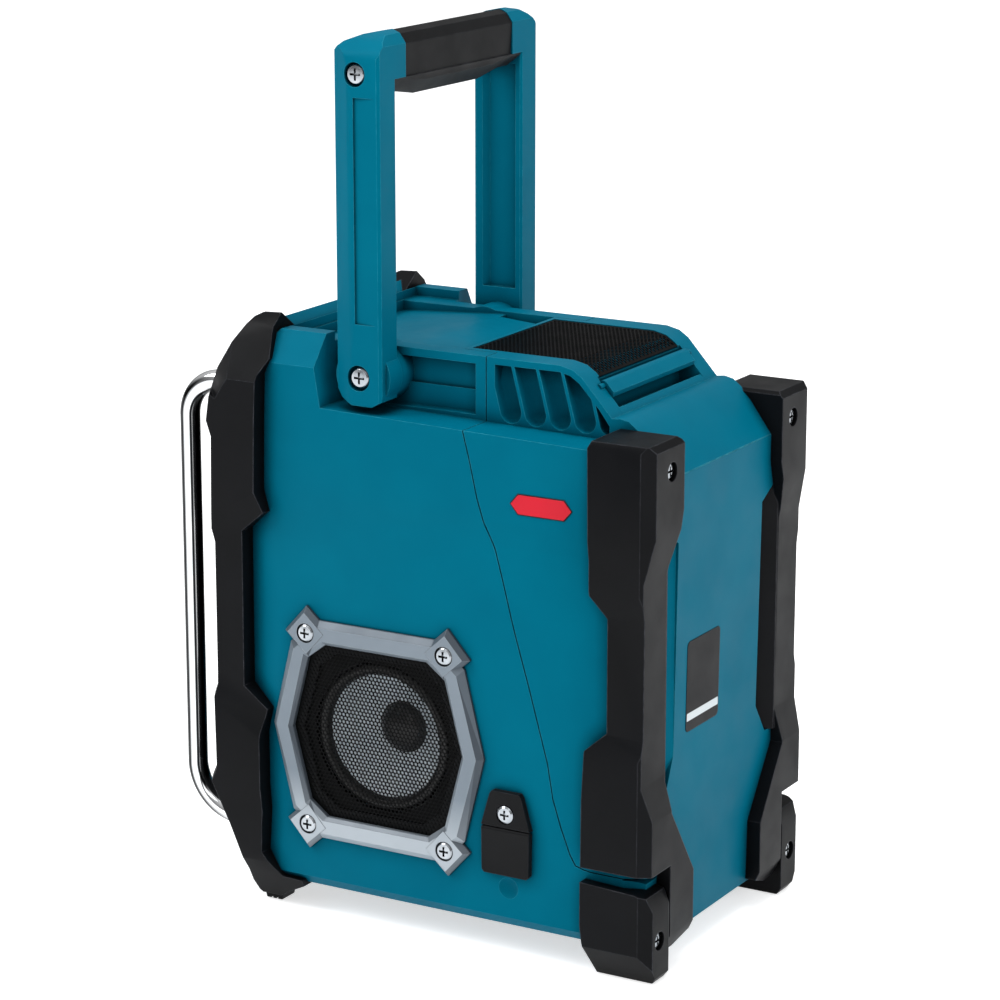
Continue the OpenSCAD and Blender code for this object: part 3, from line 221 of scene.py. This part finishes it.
class Finish(Nodes):
    """A material, and the node moves that the finishes share."""

    def __init__(self, name):
        self.material = bpy.data.materials.new(name)
        self.material.use_nodes = True
        super().__init__(self.material.node_tree)
        self.tree.nodes.clear()
        self.bsdf = self.node("ShaderNodeBsdfPrincipled")
        self.node("ShaderNodeOutputMaterial", {"Surface": self.bsdf.outputs["BSDF"]})
        place = self.node("ShaderNodeTexCoord").outputs
        self.at = place["Object"]
        self.normal = place["Normal"]

    def set(self, **values):
        """Inputs of the shader, with _ for each space in a name."""
        for key, value in values.items():
            self.feed(self.bsdf.inputs[key.replace("_", " ")], value)

    def paint(self, colour):
        """The base colour, which stays at hand as self.painted."""
        self.painted = colour
        self.set(Base_Color=colour)

    def paint_over(self, colour, cover):
        """Another colour on top, where cover is 1."""
        self.paint(self.mix(self.painted, colour, cover))

    def paint_corner_shade(self, colour, reach):
        """Painted shade: a darker colour deep in corners and recesses, within reach of the walls round
        them.
        """
        self.paint(self.mix(colour, self.painted, self.open_air(reach)))

    def noise(self, scale, detail=2.0, rough=0.5, at=None):
        inputs = {"Vector": at or self.at, "Scale": scale, "Detail": detail, "Roughness": rough}
        return self.node("ShaderNodeTexNoise", inputs).outputs["Fac"]

    def bump(self, height, strength, distance, below=None):
        inputs = {"Height": height, "Strength": strength, "Distance": distance}
        if below:
            inputs["Normal"] = below
        return self.node("ShaderNodeBump", inputs).outputs["Normal"]

    def rounded(self, radius):
        """The normal that rounded edges would have."""
        return self.node("ShaderNodeBevel", {"Radius": radius}, samples=4).outputs["Normal"]

    def edge_mask(self, radius):
        """1 along sharp edges and 0 on flats, from the difference that rounding would make."""
        flat = self.node("ShaderNodeNewGeometry").outputs["Normal"]
        dot = self.vector_math("DOT_PRODUCT", self.rounded(radius), flat)
        return self.spread(dot.outputs["Value"], 1.0, 0.0, *SHARP_EDGE)

    def outward_normal(self):
        """The surface's own normal, mirrored on the left half so that both sides look alike."""
        normal = self.axes(self.normal)
        side = self.math("SIGN", self.axes(self.at)["X"])
        return self.joined(self.math("MULTIPLY", normal["X"], side), normal["Y"], normal["Z"])

    def facing(self, direction, turned, most):
        """0 to most as the piece's own surface turns towards a direction, over the range turned."""
        dot = self.vector_math("DOT_PRODUCT", self.outward_normal(), Vector(direction))
        return self.spread(dot.outputs["Value"], 0.0, most, *turned)

    def open_air(self, reach):
        """1 on open faces, falling to 0 deep in corners and recesses; the mask of the painted shade."""
        hidden = self.node("ShaderNodeAmbientOcclusion", {"Distance": reach}, samples=6)
        return self.spread(hidden.outputs["AO"], 0.0, 1.0, *OPEN_AIR)


# ---------- kinds of finish ----------
def moulded(name, base, shade, edge_wear_and_highlight, rough, ior=1.3, tint=WHITE, grain=1500.0, grain_depth=0.05 * MM,
            rim=0.5 * MM, wear_and_highlight_share=(0.15, 0.75), corner_shade=None, reach=9.0 * MM):
    """Moulded plastic: faint cloudiness, fine spark-eroded grain and slightly paler edges, partly wear and
    partly a painted highlight.

    The share of wear and highlight is the least and the most of the paler edge colour (partly wear, partly
    a painted highlight) along an edge of width rim, and the corner shade is the colour of the painted
    shade deep in corners, within reach of the walls round them.
    """
    f = Finish(name)
    cloud = f.noise(CLOUDS, 3.0)
    f.paint(f.mix(base, shade, f.spread(cloud, 0.0, 1.0)))
    # Paler edges: partly wear broken by noise, partly a painted highlight along the edges.
    broken_wear_and_highlight = f.spread(f.noise(EDGE_BREAKS, 4.0, 0.65), *wear_and_highlight_share, *EDGE_BREAK_RANGE)
    f.paint_over(edge_wear_and_highlight, f.math("MULTIPLY", f.edge_mask(rim), broken_wear_and_highlight))
    # Painted shade deep in corners and recesses.
    if corner_shade:
        f.paint_corner_shade(corner_shade, reach)
    handled = f.noise(HANDLING, 3.0)
    f.set(Roughness=f.spread(handled, rough - 0.05, rough + 0.06), IOR=ior, Specular_Tint=tint,
          Normal=f.bump(f.noise(grain), 0.35, grain_depth, below=f.rounded(rim)))
    return f


def soft_rubber(name, base, shade, edge_wear_and_highlight, rough):
    """Rubber: a coarser grain, softer edges and a faint sheen."""
    f = moulded(name, base, shade, edge_wear_and_highlight, rough, ior=1.2, grain=2600.0, grain_depth=0.09 * MM, rim=0.7 * MM)
    f.set(Sheen_Weight=0.02, Sheen_Roughness=0.5)
    return f


def metal(name, base, shade, rough, brush=None):
    """Metal with faint smudges; brush scales stretch its scratches along an axis."""
    f = Finish(name)
    cloud = f.noise(METAL_CLOUDS, 3.0)
    f.paint(f.mix(base, shade, f.spread(cloud, 0.0, 1.0)))
    smudges = f.noise(SMUDGES, 4.0)
    f.set(Roughness=f.spread(smudges, rough * 0.75, rough * 1.35), Metallic=1.0)
    if brush:
        stretch = f.node("ShaderNodeMapping", {"Vector": f.at, "Scale": brush})
        scratches = f.noise(1.0, at=stretch.outputs["Vector"])
        f.set(Normal=f.bump(scratches, 0.25, 0.05 * MM))
    return f


# Painted reflections on the chrome: degrees round the bar from its outer side, and the colour painted
# there.
PAINTED_CHROME_REFLECTIONS = ((-180, "0B0F13"), (-150, "0B0F13"), (-140, "C4CAD0"), (-128, "0B0F13"), (-112, "10151A"),
                  (-102, "F2F5F7"), (-88, "F2F5F7"), (-78, "0B0F13"), (-14, "06090D"), (0, "E8ECEF"),
                  (24, "F6F8FA"), (30, "0B0F13"), (40, "10151A"), (47, "B9C0C6"), (60, "A2AAB1"),
                  (68, "06090C"), (140, "0B0F13"), (152, "DDE2E6"), (166, "0B0F13"), (180, "0B0F13"))


def painted_reflection_chrome(name):
    """Polished bar with painted reflections: long light and dark stripes by the direction of its own
    surface, a painted highlight on top and a painted dark reflection underneath.
    """
    f = metal(name, "FFFFFF", "EEF1F4", 0.07)
    smudged = f.painted
    # Painted reflections: light and dark stripes by the angle round the bar.
    normal = f.axes(f.outward_normal())
    turn = f.math("ARCTAN2", normal["Y"], normal["X"])
    round_bar = f.spread(turn, 0.0, 1.0, -math.pi, math.pi)
    stripes = f.node("ShaderNodeValToRGB", {"Fac": round_bar})
    places = stripes.color_ramp.elements
    for angle, code in PAINTED_CHROME_REFLECTIONS[1:-1]:
        places.new((angle + 180) / 360).color = srgb(code)
    for end in (0, -1):
        places[end].color = srgb(PAINTED_CHROME_REFLECTIONS[end][1])
    # Painted highlight on top and painted dark reflection underneath.
    with_painted_highlight = f.mix(stripes.outputs["Color"], "F2F5F7", f.spread(normal["Z"], 0.0, 1.0, *CHROME_TOP))
    with_painted_reflection = f.mix(with_painted_highlight, "15191D", f.spread(normal["Z"], 1.0, 0.0, *CHROME_UNDER))
    brightness = f.node("ShaderNodeRGBToBW", {"Color": with_painted_reflection}).outputs["Val"]
    f.paint(f.mix("06090C", smudged, brightness))
    return f


def bezel_silver(name):
    """Silver-painted frame, with a painted highlight low down and painted shade on the facets that face up
    or to the back and in its corners.
    """
    f = moulded(name, "7B8690", "737E88", "B3BBC2", 0.36, ior=1.4, grain_depth=0.02 * MM, rim=0.6 * MM,
                wear_and_highlight_share=(0.4, 0.9))
    f.set(Metallic=0.25)
    # Painted highlight on the low bar.
    f.paint_over("B4BCC3", f.spread(f.axes(f.at)["Z"], 0.8, 0.0, *LOW_BAR))
    # Painted shade on the facets that face up.
    f.paint_over("4A525A", f.facing((0.0, 0.0, 1.0), ROOF_FACET, 0.75))
    # Painted shade on the facets that face to the back.
    f.paint_over("343B43", f.facing((0.0, 1.0, 0.0), REAR_FACET, 0.85))
    # Painted shade in corners and recesses.
    f.paint_corner_shade("30363C", 2.5 * MM)
    return f


def screw_steel(name):
    """Bright screw head with painted shade in its drive recess."""
    f = metal(name, "B4B9BE", "92989E", 0.2)
    # Painted shade in the drive recess.
    f.paint_corner_shade("15171A", 1.6 * MM)
    return f


def display_glass():
    """Clear cover with faint smears over the display."""
    f = Finish("lens")
    smear = f.noise(SMEARS, 4.0)
    f.paint(f.mix("3E4A4E", "364347", f.spread(smear, 0.0, 1.0)))
    f.set(Roughness=f.spread(smear, 0.03, 0.12), Transmission_Weight=0.85, IOR=1.49)
    return f


def display_panel():
    """Unlit liquid-crystal panel: grey-green with fine horizontal lines."""
    f = Finish("display_grey")
    lines = f.node("ShaderNodeTexWave", {"Vector": f.at, "Scale": DISPLAY_LINES},
                   wave_type="BANDS", bands_direction="Z")
    f.paint(f.mix("8B968A", "7E897E", lines.outputs["Fac"]))
    f.set(Roughness=0.4)
    return f


def speaker_paper():
    """Cone coloured by its radius: dark dust cap, silver cone, black rubber surround."""
    f = Finish("cone_silver")
    shift = f.vector_math("SUBTRACT", f.at, (0.0, SPEAKER.y, SPEAKER.z))
    parts = f.axes(shift.outputs["Vector"])
    flat = f.joined(0.0, parts["Y"], parts["Z"])
    radius = f.vector_math("LENGTH", flat).outputs["Value"]
    paper = f.mix("E2EAF0", "D2DCE4", f.spread(f.noise(PAPER, 4.0), 0.0, 1.0))
    past_cap = f.spread(radius, 0.0, 1.0, CAP_R - COLOUR_STEP, CAP_R + COLOUR_STEP)
    past_cone = f.spread(radius, 0.0, 1.0, CONE_R - COLOUR_STEP, CONE_R + COLOUR_STEP)
    f.paint(f.mix("0C0D0F", paper, past_cap))
    f.paint_over("060607", past_cone)
    rings = f.node("ShaderNodeTexWave", {"Vector": flat, "Scale": CONE_RINGS},
                   wave_type="RINGS", rings_direction="X")
    f.set(Normal=f.bump(rings.outputs["Fac"], 0.2, 0.1 * MM), Roughness=0.3)
    return f


# ---------- finishes ----------
TEAL_TINT = (0.12, 0.72, 0.88, 1.0)

teal = moulded("teal_shell", "006A83", "00647D", "3FA3B8", 0.42, ior=1.13, tint=TEAL_TINT,
               wear_and_highlight_share=(0.3, 0.85), corner_shade="002F3D")
black = moulded("black_plastic", "0F1013", "0B0C0E", "4E5056", 0.40, ior=1.17, rim=0.8 * MM,
                wear_and_highlight_share=(0.4, 1.0), corner_shade="050506")
rubber = soft_rubber("black_rubber", "0B0C0E", "111214", "3A3B40", 0.50)
silver = bezel_silver("silver_bezel")
grille_black = moulded("grille_black", "0A0B0C", "070808", "141517", 0.5, ior=1.15, rim=0.15 * MM)
badge_red = moulded("badge_red", "D4142C", "C91128", "E4566A", 0.30, ior=1.3, grain_depth=0.01 * MM,
                    rim=0.15 * MM)
label_pale = moulded("label_pale", "D9E2E6", "CBD5DA", "EDF1F3", 0.35, ior=1.45, grain_depth=0.01 * MM,
                     rim=0.1 * MM)

BY_SLOT = {
    "teal_shell": teal,
    "black_plastic": black,
    "button_plastic": moulded("button_plastic", "232427", "1E1F22", "45464B", 0.48),
    "black_rubber": rubber,
    "silver_bezel": silver,
    "grille_black": grille_black,
    "cone_silver": speaker_paper(),
    "chrome_bar": painted_reflection_chrome("chrome_bar"),
    "screw_metal": screw_steel("screw_metal"),
    "plain_steel": metal("plain_steel", "B9BBBE", "A6A8AC", 0.30, brush=(40.0, 2200.0, 2200.0)),
    "board_green": moulded("board_green", "0B5A34", "0A4C2D", "1C7A4A", 0.25, ior=1.5),
    "contact_brass": metal("contact_brass", "D2A45A", "BE8F47", 0.25),
    "lens": display_glass(),
    "display_grey": display_panel(),
}


def dress_nodes():
    """Give each CAD node the finish of its material slot."""
    for part in frame["record"]["subparts"]:
        node = NODES[part["node"]]
        node.data.materials.clear()
        node.data.materials.append(BY_SLOT[part["material_slot"]].material)
    NODES["latch_pins"].data.materials[0] = teal.material


# ---------- smooth shading of round faces ----------
def smooth_group():
    """Geometry nodes that shade smooth and keep the edges over SMOOTH_ANGLE sharp."""
    tree = bpy.data.node_groups.new("smooth_by_angle", "GeometryNodeTree")
    for in_out in ("INPUT", "OUTPUT"):
        tree.interface.new_socket("Geometry", in_out=in_out, socket_type="NodeSocketGeometry")
    nodes = Nodes(tree)
    shape = nodes.node("NodeGroupInput").outputs[0]
    bend = nodes.node("GeometryNodeInputMeshEdgeAngle").outputs["Unsigned Angle"]
    sharp = nodes.node("FunctionNodeCompare", {0: bend, 1: SMOOTH_ANGLE}, operation="GREATER_THAN")
    faces = nodes.node("GeometryNodeSetShadeSmooth", {"Geometry": shape}, domain="FACE")
    inputs = {"Geometry": faces.outputs[0], "Selection": sharp.outputs["Result"], "Shade Smooth": False}
    edges = nodes.node("GeometryNodeSetShadeSmooth", inputs, domain="EDGE")
    nodes.node("NodeGroupOutput", {0: edges.outputs[0]})
    return tree


def smooth_nodes():
    """Weld each CAD node's facets and shade its round faces smooth."""
    tree = smooth_group()
    for node in NODES.values():
        weld = node.modifiers.new("weld", "WELD")
        weld.merge_threshold = SAME_POINT
        shade = node.modifiers.new("smooth", "NODES")
        shade.node_group = tree


# ---------- making pieces ----------
def band(mesh, low, high):
    """Faces between two closed loops of vertices."""
    count = len(low)
    for i in range(count):
        j = (i + 1) % count
        mesh.faces.new((low[i], low[j], high[j], high[i]))


def add_piece(name, mesh, finish):
    """An object from a bmesh, in the scene and with its finish."""
    bmesh.ops.recalc_face_normals(mesh, faces=mesh.faces)
    data = bpy.data.meshes.new(name)
    mesh.to_mesh(data)
    mesh.free()
    piece = bpy.data.objects.new(name, data)
    bpy.context.scene.collection.objects.link(piece)
    data.materials.append(finish.material)
    return piece


def thicken(sheet):
    """Give a flat sheet its thickness, half to each side."""
    thick = sheet.modifiers.new("thickness", "SOLIDIFY")
    thick.thickness = SHEET_T
    thick.offset = 0.0


def soften(piece, width, angle=30):
    """Round off the edges that bend by more than an angle in degrees."""
    bevel = piece.modifiers.new("soften", "BEVEL")
    bevel.width = width
    bevel.segments = 2
    bevel.angle_limit = math.radians(angle)


def surface_of(name):
    """A search tree of a CAD node's faces, to find the surface that a piece lies on."""
    return BVHTree.FromObject(NODES[name], bpy.context.evaluated_depsgraph_get())


# ---------- outlines ----------
def inside(point, outline):
    """Whether a 2-D point lies in a polygon."""
    x, y = point
    hit = False
    for (x0, y0), (x1, y1) in zip(outline, outline[1:] + outline[:1]):
        if (y0 > y) != (y1 > y) and x < x0 + (x1 - x0) * (y - y0) / (y1 - y0):
            hit = not hit
    return hit


def cut_corners(a, b, knee, end):
    """Outline of half sizes a and b with cut corners and sides that bend in the middle."""
    quarter = [(a, 0.0), (a - knee[0], b - knee[1]), (a - end, b)]
    top = quarter + [(-u, v) for u, v in reversed(quarter)]
    return top + [(u, -v) for u, v in reversed(top[1:-1])]


def bezel_opening(grow):
    """Opening of the bezel, grown by grow."""
    a, b = (half - OVERLAP + grow for half in GRILLE_HALF)
    return cut_corners(a, b, OPENING_KNEE, OPENING_END)


def bezel_outer(shrink):
    """Outer edge of the bezel's frame, drawn in by shrink."""
    a, b = (half - shrink for half in BEZEL_HALF)
    return cut_corners(a, b, BEZEL_KNEE, BEZEL_END)


def circle(centre, radius, count=32, start=0.0):
    """Points round a centre, the first at the angle start in degrees."""
    angles = [math.radians(start) + 2 * math.pi * i / count for i in range(count)]
    return [(centre[0] + radius * math.cos(a), centre[1] + radius * math.sin(a)) for a in angles]


def turned_square(centre, half, turn):
    """Corners of a square about a centre, turned by an angle in degrees."""
    return circle(centre, half * math.sqrt(2), 4, turn + 45)


def rounded_box(left, right, bottom, top, radius, steps=6):
    """Outline of a rectangle with round corners."""
    points = []
    corners = [(right - radius, top - radius), (left + radius, top - radius),
               (left + radius, bottom + radius), (right - radius, bottom + radius)]
    for turn, (x, y) in enumerate(corners):
        for step in range(steps + 1):
            angle = math.pi / 2 * (turn + step / steps)
            points.append((x + radius * math.cos(angle), y + radius * math.sin(angle)))
    return points


def lozenge(centre, half_long, half_high, point):
    """Outline of a band with pointed ends; point is how far each end runs out."""
    y, z = centre
    flat = half_long - point
    return [(y - half_long, z), (y - flat, z - half_high), (y + flat, z - half_high),
            (y + half_long, z), (y + flat, z + half_high), (y - flat, z + half_high)]


# ---------- perforated sheets ----------
def cell_ring(radius, corner_first):
    """Twelve points round a cell: on a hexagon when corner_first, else on a circle."""
    points = []
    for i in range(12):
        flat = corner_first and i % 2 == 1
        reach = radius * math.cos(math.pi / 6) if flat else radius
        angle = math.pi / 2 + i * math.pi / 6
        points.append((reach * math.cos(angle), reach * math.sin(angle)))
    return points


def perforated(name, centre, half, keep, hole_zone, lay):
    """A sheet of hexagonal cells, each with a round hole where its centre is in hole_zone.

    keep and hole_zone say whether a point of the flat sheet is in them, and lay puts it in space.
    """
    mesh = bmesh.new()
    outer = cell_ring(PITCH / math.sqrt(3), True)
    hole = cell_ring(HOLE_R, False)
    rows = int(half[1] / ROW) + 2
    columns = int(half[0] / PITCH) + 2
    for row in range(-rows, rows + 1):
        for column in range(-columns, columns + 1):
            u = centre[0] + (column + (row % 2) / 2) * PITCH
            v = centre[1] + row * ROW
            if not keep((u, v)):
                continue
            rim = [mesh.verts.new(lay(u + du, v + dv)) for du, dv in outer]
            if hole_zone((u, v)):
                band(mesh, rim, [mesh.verts.new(lay(u + du, v + dv)) for du, dv in hole])
            else:
                mesh.faces.new(rim)
    bmesh.ops.remove_doubles(mesh, verts=mesh.verts, dist=0.01 * MM)
    sheet = add_piece(name, mesh, grille_black)
    thicken(sheet)
    return sheet


def speaker_grille(side):
    """The flat perforated sheet in front of a speaker."""
    edge = bezel_opening(UNDER_BEZEL)
    field = bezel_opening(HOLE_FIELD)
    x = SIDES[side] * SPEAKER.x
    sheet = perforated(
        f"perforated_grille_{side}", (0.0, 0.0), GRILLE_HALF,
        lambda p: inside(p, edge), lambda p: inside(p, field),
        lambda u, v: (x, SPEAKER.y + u, SPEAKER.z + v))
    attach(sheet, "housing")
    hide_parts(f"speaker_grille_{side}")


def gasket(side):
    """Black foam ring behind the edge of a grille, which keeps its outer holes dark."""
    mesh = bmesh.new()
    x = SIDES[side] * (SPEAKER.x - SHEET_T)
    edges = [[mesh.verts.new((x, SPEAKER.y + u, SPEAKER.z + v)) for u, v in bezel_opening(grow)]
             for grow in (UNDER_BEZEL, GASKET_IN)]
    band(mesh, *edges)
    ring = add_piece(f"grille_gasket_{side}", mesh, rubber)
    thicken(ring)
    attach(ring, "housing")


def top_mesh():
    """The bent perforated panel over the vents, laid on the CAD panel's own profile."""
    low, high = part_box("top_mesh")
    tree = surface_of("top_mesh")
    edge = 0.05 * MM
    down = Vector((0, 0, -1))

    def height(y):
        above = Vector((0.0, min(max(y, low.y + edge), high.y - edge), high.z + 0.1))
        return tree.ray_cast(above, down)[0].z - SHEET_T / 2

    def lay(u, v):
        x = min(max(v, low.x), high.x)
        y = min(max(u, low.y), high.y)
        return (x, y, height(y))

    def within(point, margin):
        return low.y + margin < point[0] < high.y - margin and abs(point[1]) < high.x - margin

    sheet = perforated(
        "perforated_top_mesh", ((low.y + high.y) / 2, 0.0), ((high.y - low.y) / 2, high.x),
        lambda p: within(p, -ROW / 2), lambda p: within(p, MESH_MARGIN), lay)
    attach(sheet, "battery_door")
    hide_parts("top_mesh")


# ---------- faceted speaker bezels ----------
def outline_solid(name, loops, ring=False):
    """A closed solid through loops of (height, points); a ring joins its last loop to its first."""
    mesh = bmesh.new()
    rows = [[mesh.verts.new((height, u, v)) for u, v in points] for height, points in loops]
    for low, high in zip(rows, rows[1:]):
        band(mesh, low, high)
    if ring:
        band(mesh, rows[-1], rows[0])
    else:
        mesh.faces.new(rows[0])
        mesh.faces.new(rows[-1])
    return add_piece(name, mesh, silver)


def combine(piece, others, operation):
    """Join others to a piece or cut them out of it."""
    for other in others:
        change = piece.modifiers.new("combine", "BOOLEAN")
        change.operation = operation
        change.solver = "EXACT"
        change.object = other
    bpy.context.view_layer.update()
    shape = piece.evaluated_get(bpy.context.evaluated_depsgraph_get())
    result = bpy.data.meshes.new_from_object(shape)
    piece.modifiers.clear()
    piece.data = result
    for other in others:
        bpy.data.objects.remove(other)


def faceted_bezel(side):
    """The speaker bezel with the sloping facets of its frame and of its four screw lugs."""
    t = BEZEL_T
    opening = bezel_opening(0.0)
    bezel = outline_solid(f"faceted_bezel_{side}", [
        (0.0, bezel_outer(0.0)), (WALL_TOP * t, bezel_outer(0.0)),
        (FRAME_TOP * t, bezel_outer(BEZEL_SLOPE)), (FRAME_TOP * t, bezel_opening(BEZEL_LIP)),
        (LIP_FOOT * t, opening), (0.0, opening)], ring=True)
    lugs, cutters = [], []
    for i in (-1, 1):
        for j in (-1, 1):
            centre = (i * LUG_AT[0], j * LUG_AT[1])
            squares = [(height * t, turned_square(centre, half, i * j * LUG_TURN))
                       for height, half in ((0.0, LUG_FOOT), (LUG_WALL, LUG_FOOT), (LUG_TOP, LUG_HEAD))]
            lugs.append(outline_solid("lug", squares))
            pocket = circle(centre, POCKET_R)
            cutters.append(outline_solid("pocket", [(POCKET_FLOOR * t, pocket), (CLEAR * t, pocket)]))
    cutters.append(outline_solid("hollow", [(-t, opening), (HOLLOW_START * t, opening),
                                            (CLEAR * t, bezel_opening(BEZEL_LIP * 2.0))]))
    combine(bezel, lugs, "UNION")
    combine(bezel, cutters, "DIFFERENCE")
    for vertex in bezel.data.vertices:
        height, u, v = vertex.co
        vertex.co = (SIDES[side] * (BEZEL_X + height), SPEAKER.y + u, SPEAKER.z + v)
    if SIDES[side] < 0:
        bezel.data.flip_normals()
    soften(bezel, BEZEL_SOFT, angle=20)
    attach(bezel, "housing")
    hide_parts(f"speaker_bezel_{side}")


# ---------- bare plates on the battery door ----------
def plate(name, outline, place, outward, finish, lift=0.0):
    """A thin plate whose back lies on the battery door, lift above its face.

    outline holds (across, up) points, place turns one into a point outside the door, and outward
    is the direction that the door's face looks in.
    """
    tree = surface_of("battery_door")
    out = Vector(outward)
    mesh = bmesh.new()
    back, front = [], []
    for across, up in outline:
        seat = tree.ray_cast(Vector(place(across, up)), -out)[0]
        back.append(mesh.verts.new(seat + out * lift))
        front.append(mesh.verts.new(seat + out * (lift + PLATE_T)))
    mesh.faces.new(back)
    mesh.faces.new(front)
    band(mesh, back, front)
    piece = add_piece(name, mesh, finish)
    soften(piece, PLATE_T / 3)
    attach(piece, "battery_door")


def label():
    """The bare label plate on the door's back, with its pale strip."""
    left, right, bottom, top = LABEL_BOX
    foot, head = (bottom + up for up in STRIP_UP)
    strip = rounded_box(left + STRIP_IN, right - STRIP_IN, foot, head, STRIP_R)

    def behind(x, z):
        return (x, OUTSIDE, z)

    plate("rear_label_plate", rounded_box(*LABEL_BOX, LABEL_R), behind, (0, 1, 0), black)
    plate("rear_label_strip", strip, behind, (0, 1, 0), label_pale, lift=PLATE_LIFT)


def badge(side):
    """The bare badge on one side of the door: a red face on a black rim."""
    sign = SIDES[side]

    def beside(y, z):
        return (sign * OUTSIDE, y, z)

    plate(f"badge_rim_{side}", lozenge(BADGE_AT, *BADGE_RIM), beside, (sign, 0, 0), black)
    plate(f"badge_face_{side}", lozenge(BADGE_AT, *BADGE_FACE), beside, (sign, 0, 0), badge_red,
          lift=PLATE_LIFT)


# ---------- studio ----------
def pale_floor():
    """A floor that is white where it is seen and keeps the object's shadow."""
    bpy.ops.mesh.primitive_plane_add(size=FLOOR_SIZE, location=(0.0, 0.0, -FLOOR_DROP))
    floor = bpy.context.object
    floor.name = "studio_floor"
    f = Finish("studio_floor")
    f.paint(f.mix("F4F5F6", "F0F1F2", f.noise(FLOOR_CLOUDS)))
    path = f.node("ShaderNodeLightPath").outputs
    straight = f.math("MAXIMUM", path["Is Camera Ray"], path["Is Glossy Ray"])
    seen = f.math("MAXIMUM", straight, path["Is Transmission Ray"])
    f.set(Roughness=0.8, Specular_IOR_Level=0.1, Emission_Color=WHITE,
          Emission_Strength=f.math("MULTIPLY", seen, WHITE_FLOOR))
    floor.data.materials.append(f.material)


def room():
    """A room that is dim at the level and bright overhead, and white to the camera."""
    world = bpy.data.worlds.new("studio")
    bpy.context.scene.world = world
    world.use_nodes = True
    nodes = Nodes(world.node_tree)
    up = nodes.axes(nodes.node("ShaderNodeTexCoord").outputs["Generated"])["Z"]
    fill = nodes.spread(up, LOW_FILL, HIGH_FILL, 0.0, 1.0)
    seen = nodes.node("ShaderNodeLightPath").outputs["Is Camera Ray"]
    background = world.node_tree.nodes["Background"]
    nodes.feed(background.inputs["Color"], WHITE)
    nodes.feed(background.inputs["Strength"], nodes.math("MAXIMUM", fill, seen))


def area_light(name, place, size, power):
    """A soft rectangular lamp that looks at the object."""
    data = bpy.data.lights.new(name, "AREA")
    data.shape = "RECTANGLE"
    data.size, data.size_y = size
    data.energy = power
    lamp = bpy.data.objects.new(name, data)
    lamp.location = place
    lamp.rotation_euler = (Vector(AIM) - Vector(place)).to_track_quat("-Z", "Y").to_euler()
    bpy.context.scene.collection.objects.link(lamp)


def camera():
    """The photograph's camera."""
    data = bpy.data.cameras.new("camera")
    data.sensor_width = SENSOR
    data.lens = LENS
    data.clip_end = FAR
    eye = bpy.data.objects.new("camera", data)
    eye.location = EYE
    eye.rotation_euler = Vector(EYE_BACK).to_track_quat("Z", "Y").to_euler()
    bpy.context.scene.collection.objects.link(eye)
    bpy.context.scene.camera = eye


# ---------- the scene ----------
dress_nodes()
smooth_nodes()
for side_name in SIDES:
    speaker_grille(side_name)
    gasket(side_name)
    faceted_bezel(side_name)
top_mesh()
label()
for side_name in SIDES:
    badge(side_name)

pale_floor()
room()
for lamp_values in LAMPS:
    area_light(*lamp_values)
camera()
bpy.context.scene.view_settings.view_transform = "Standard"
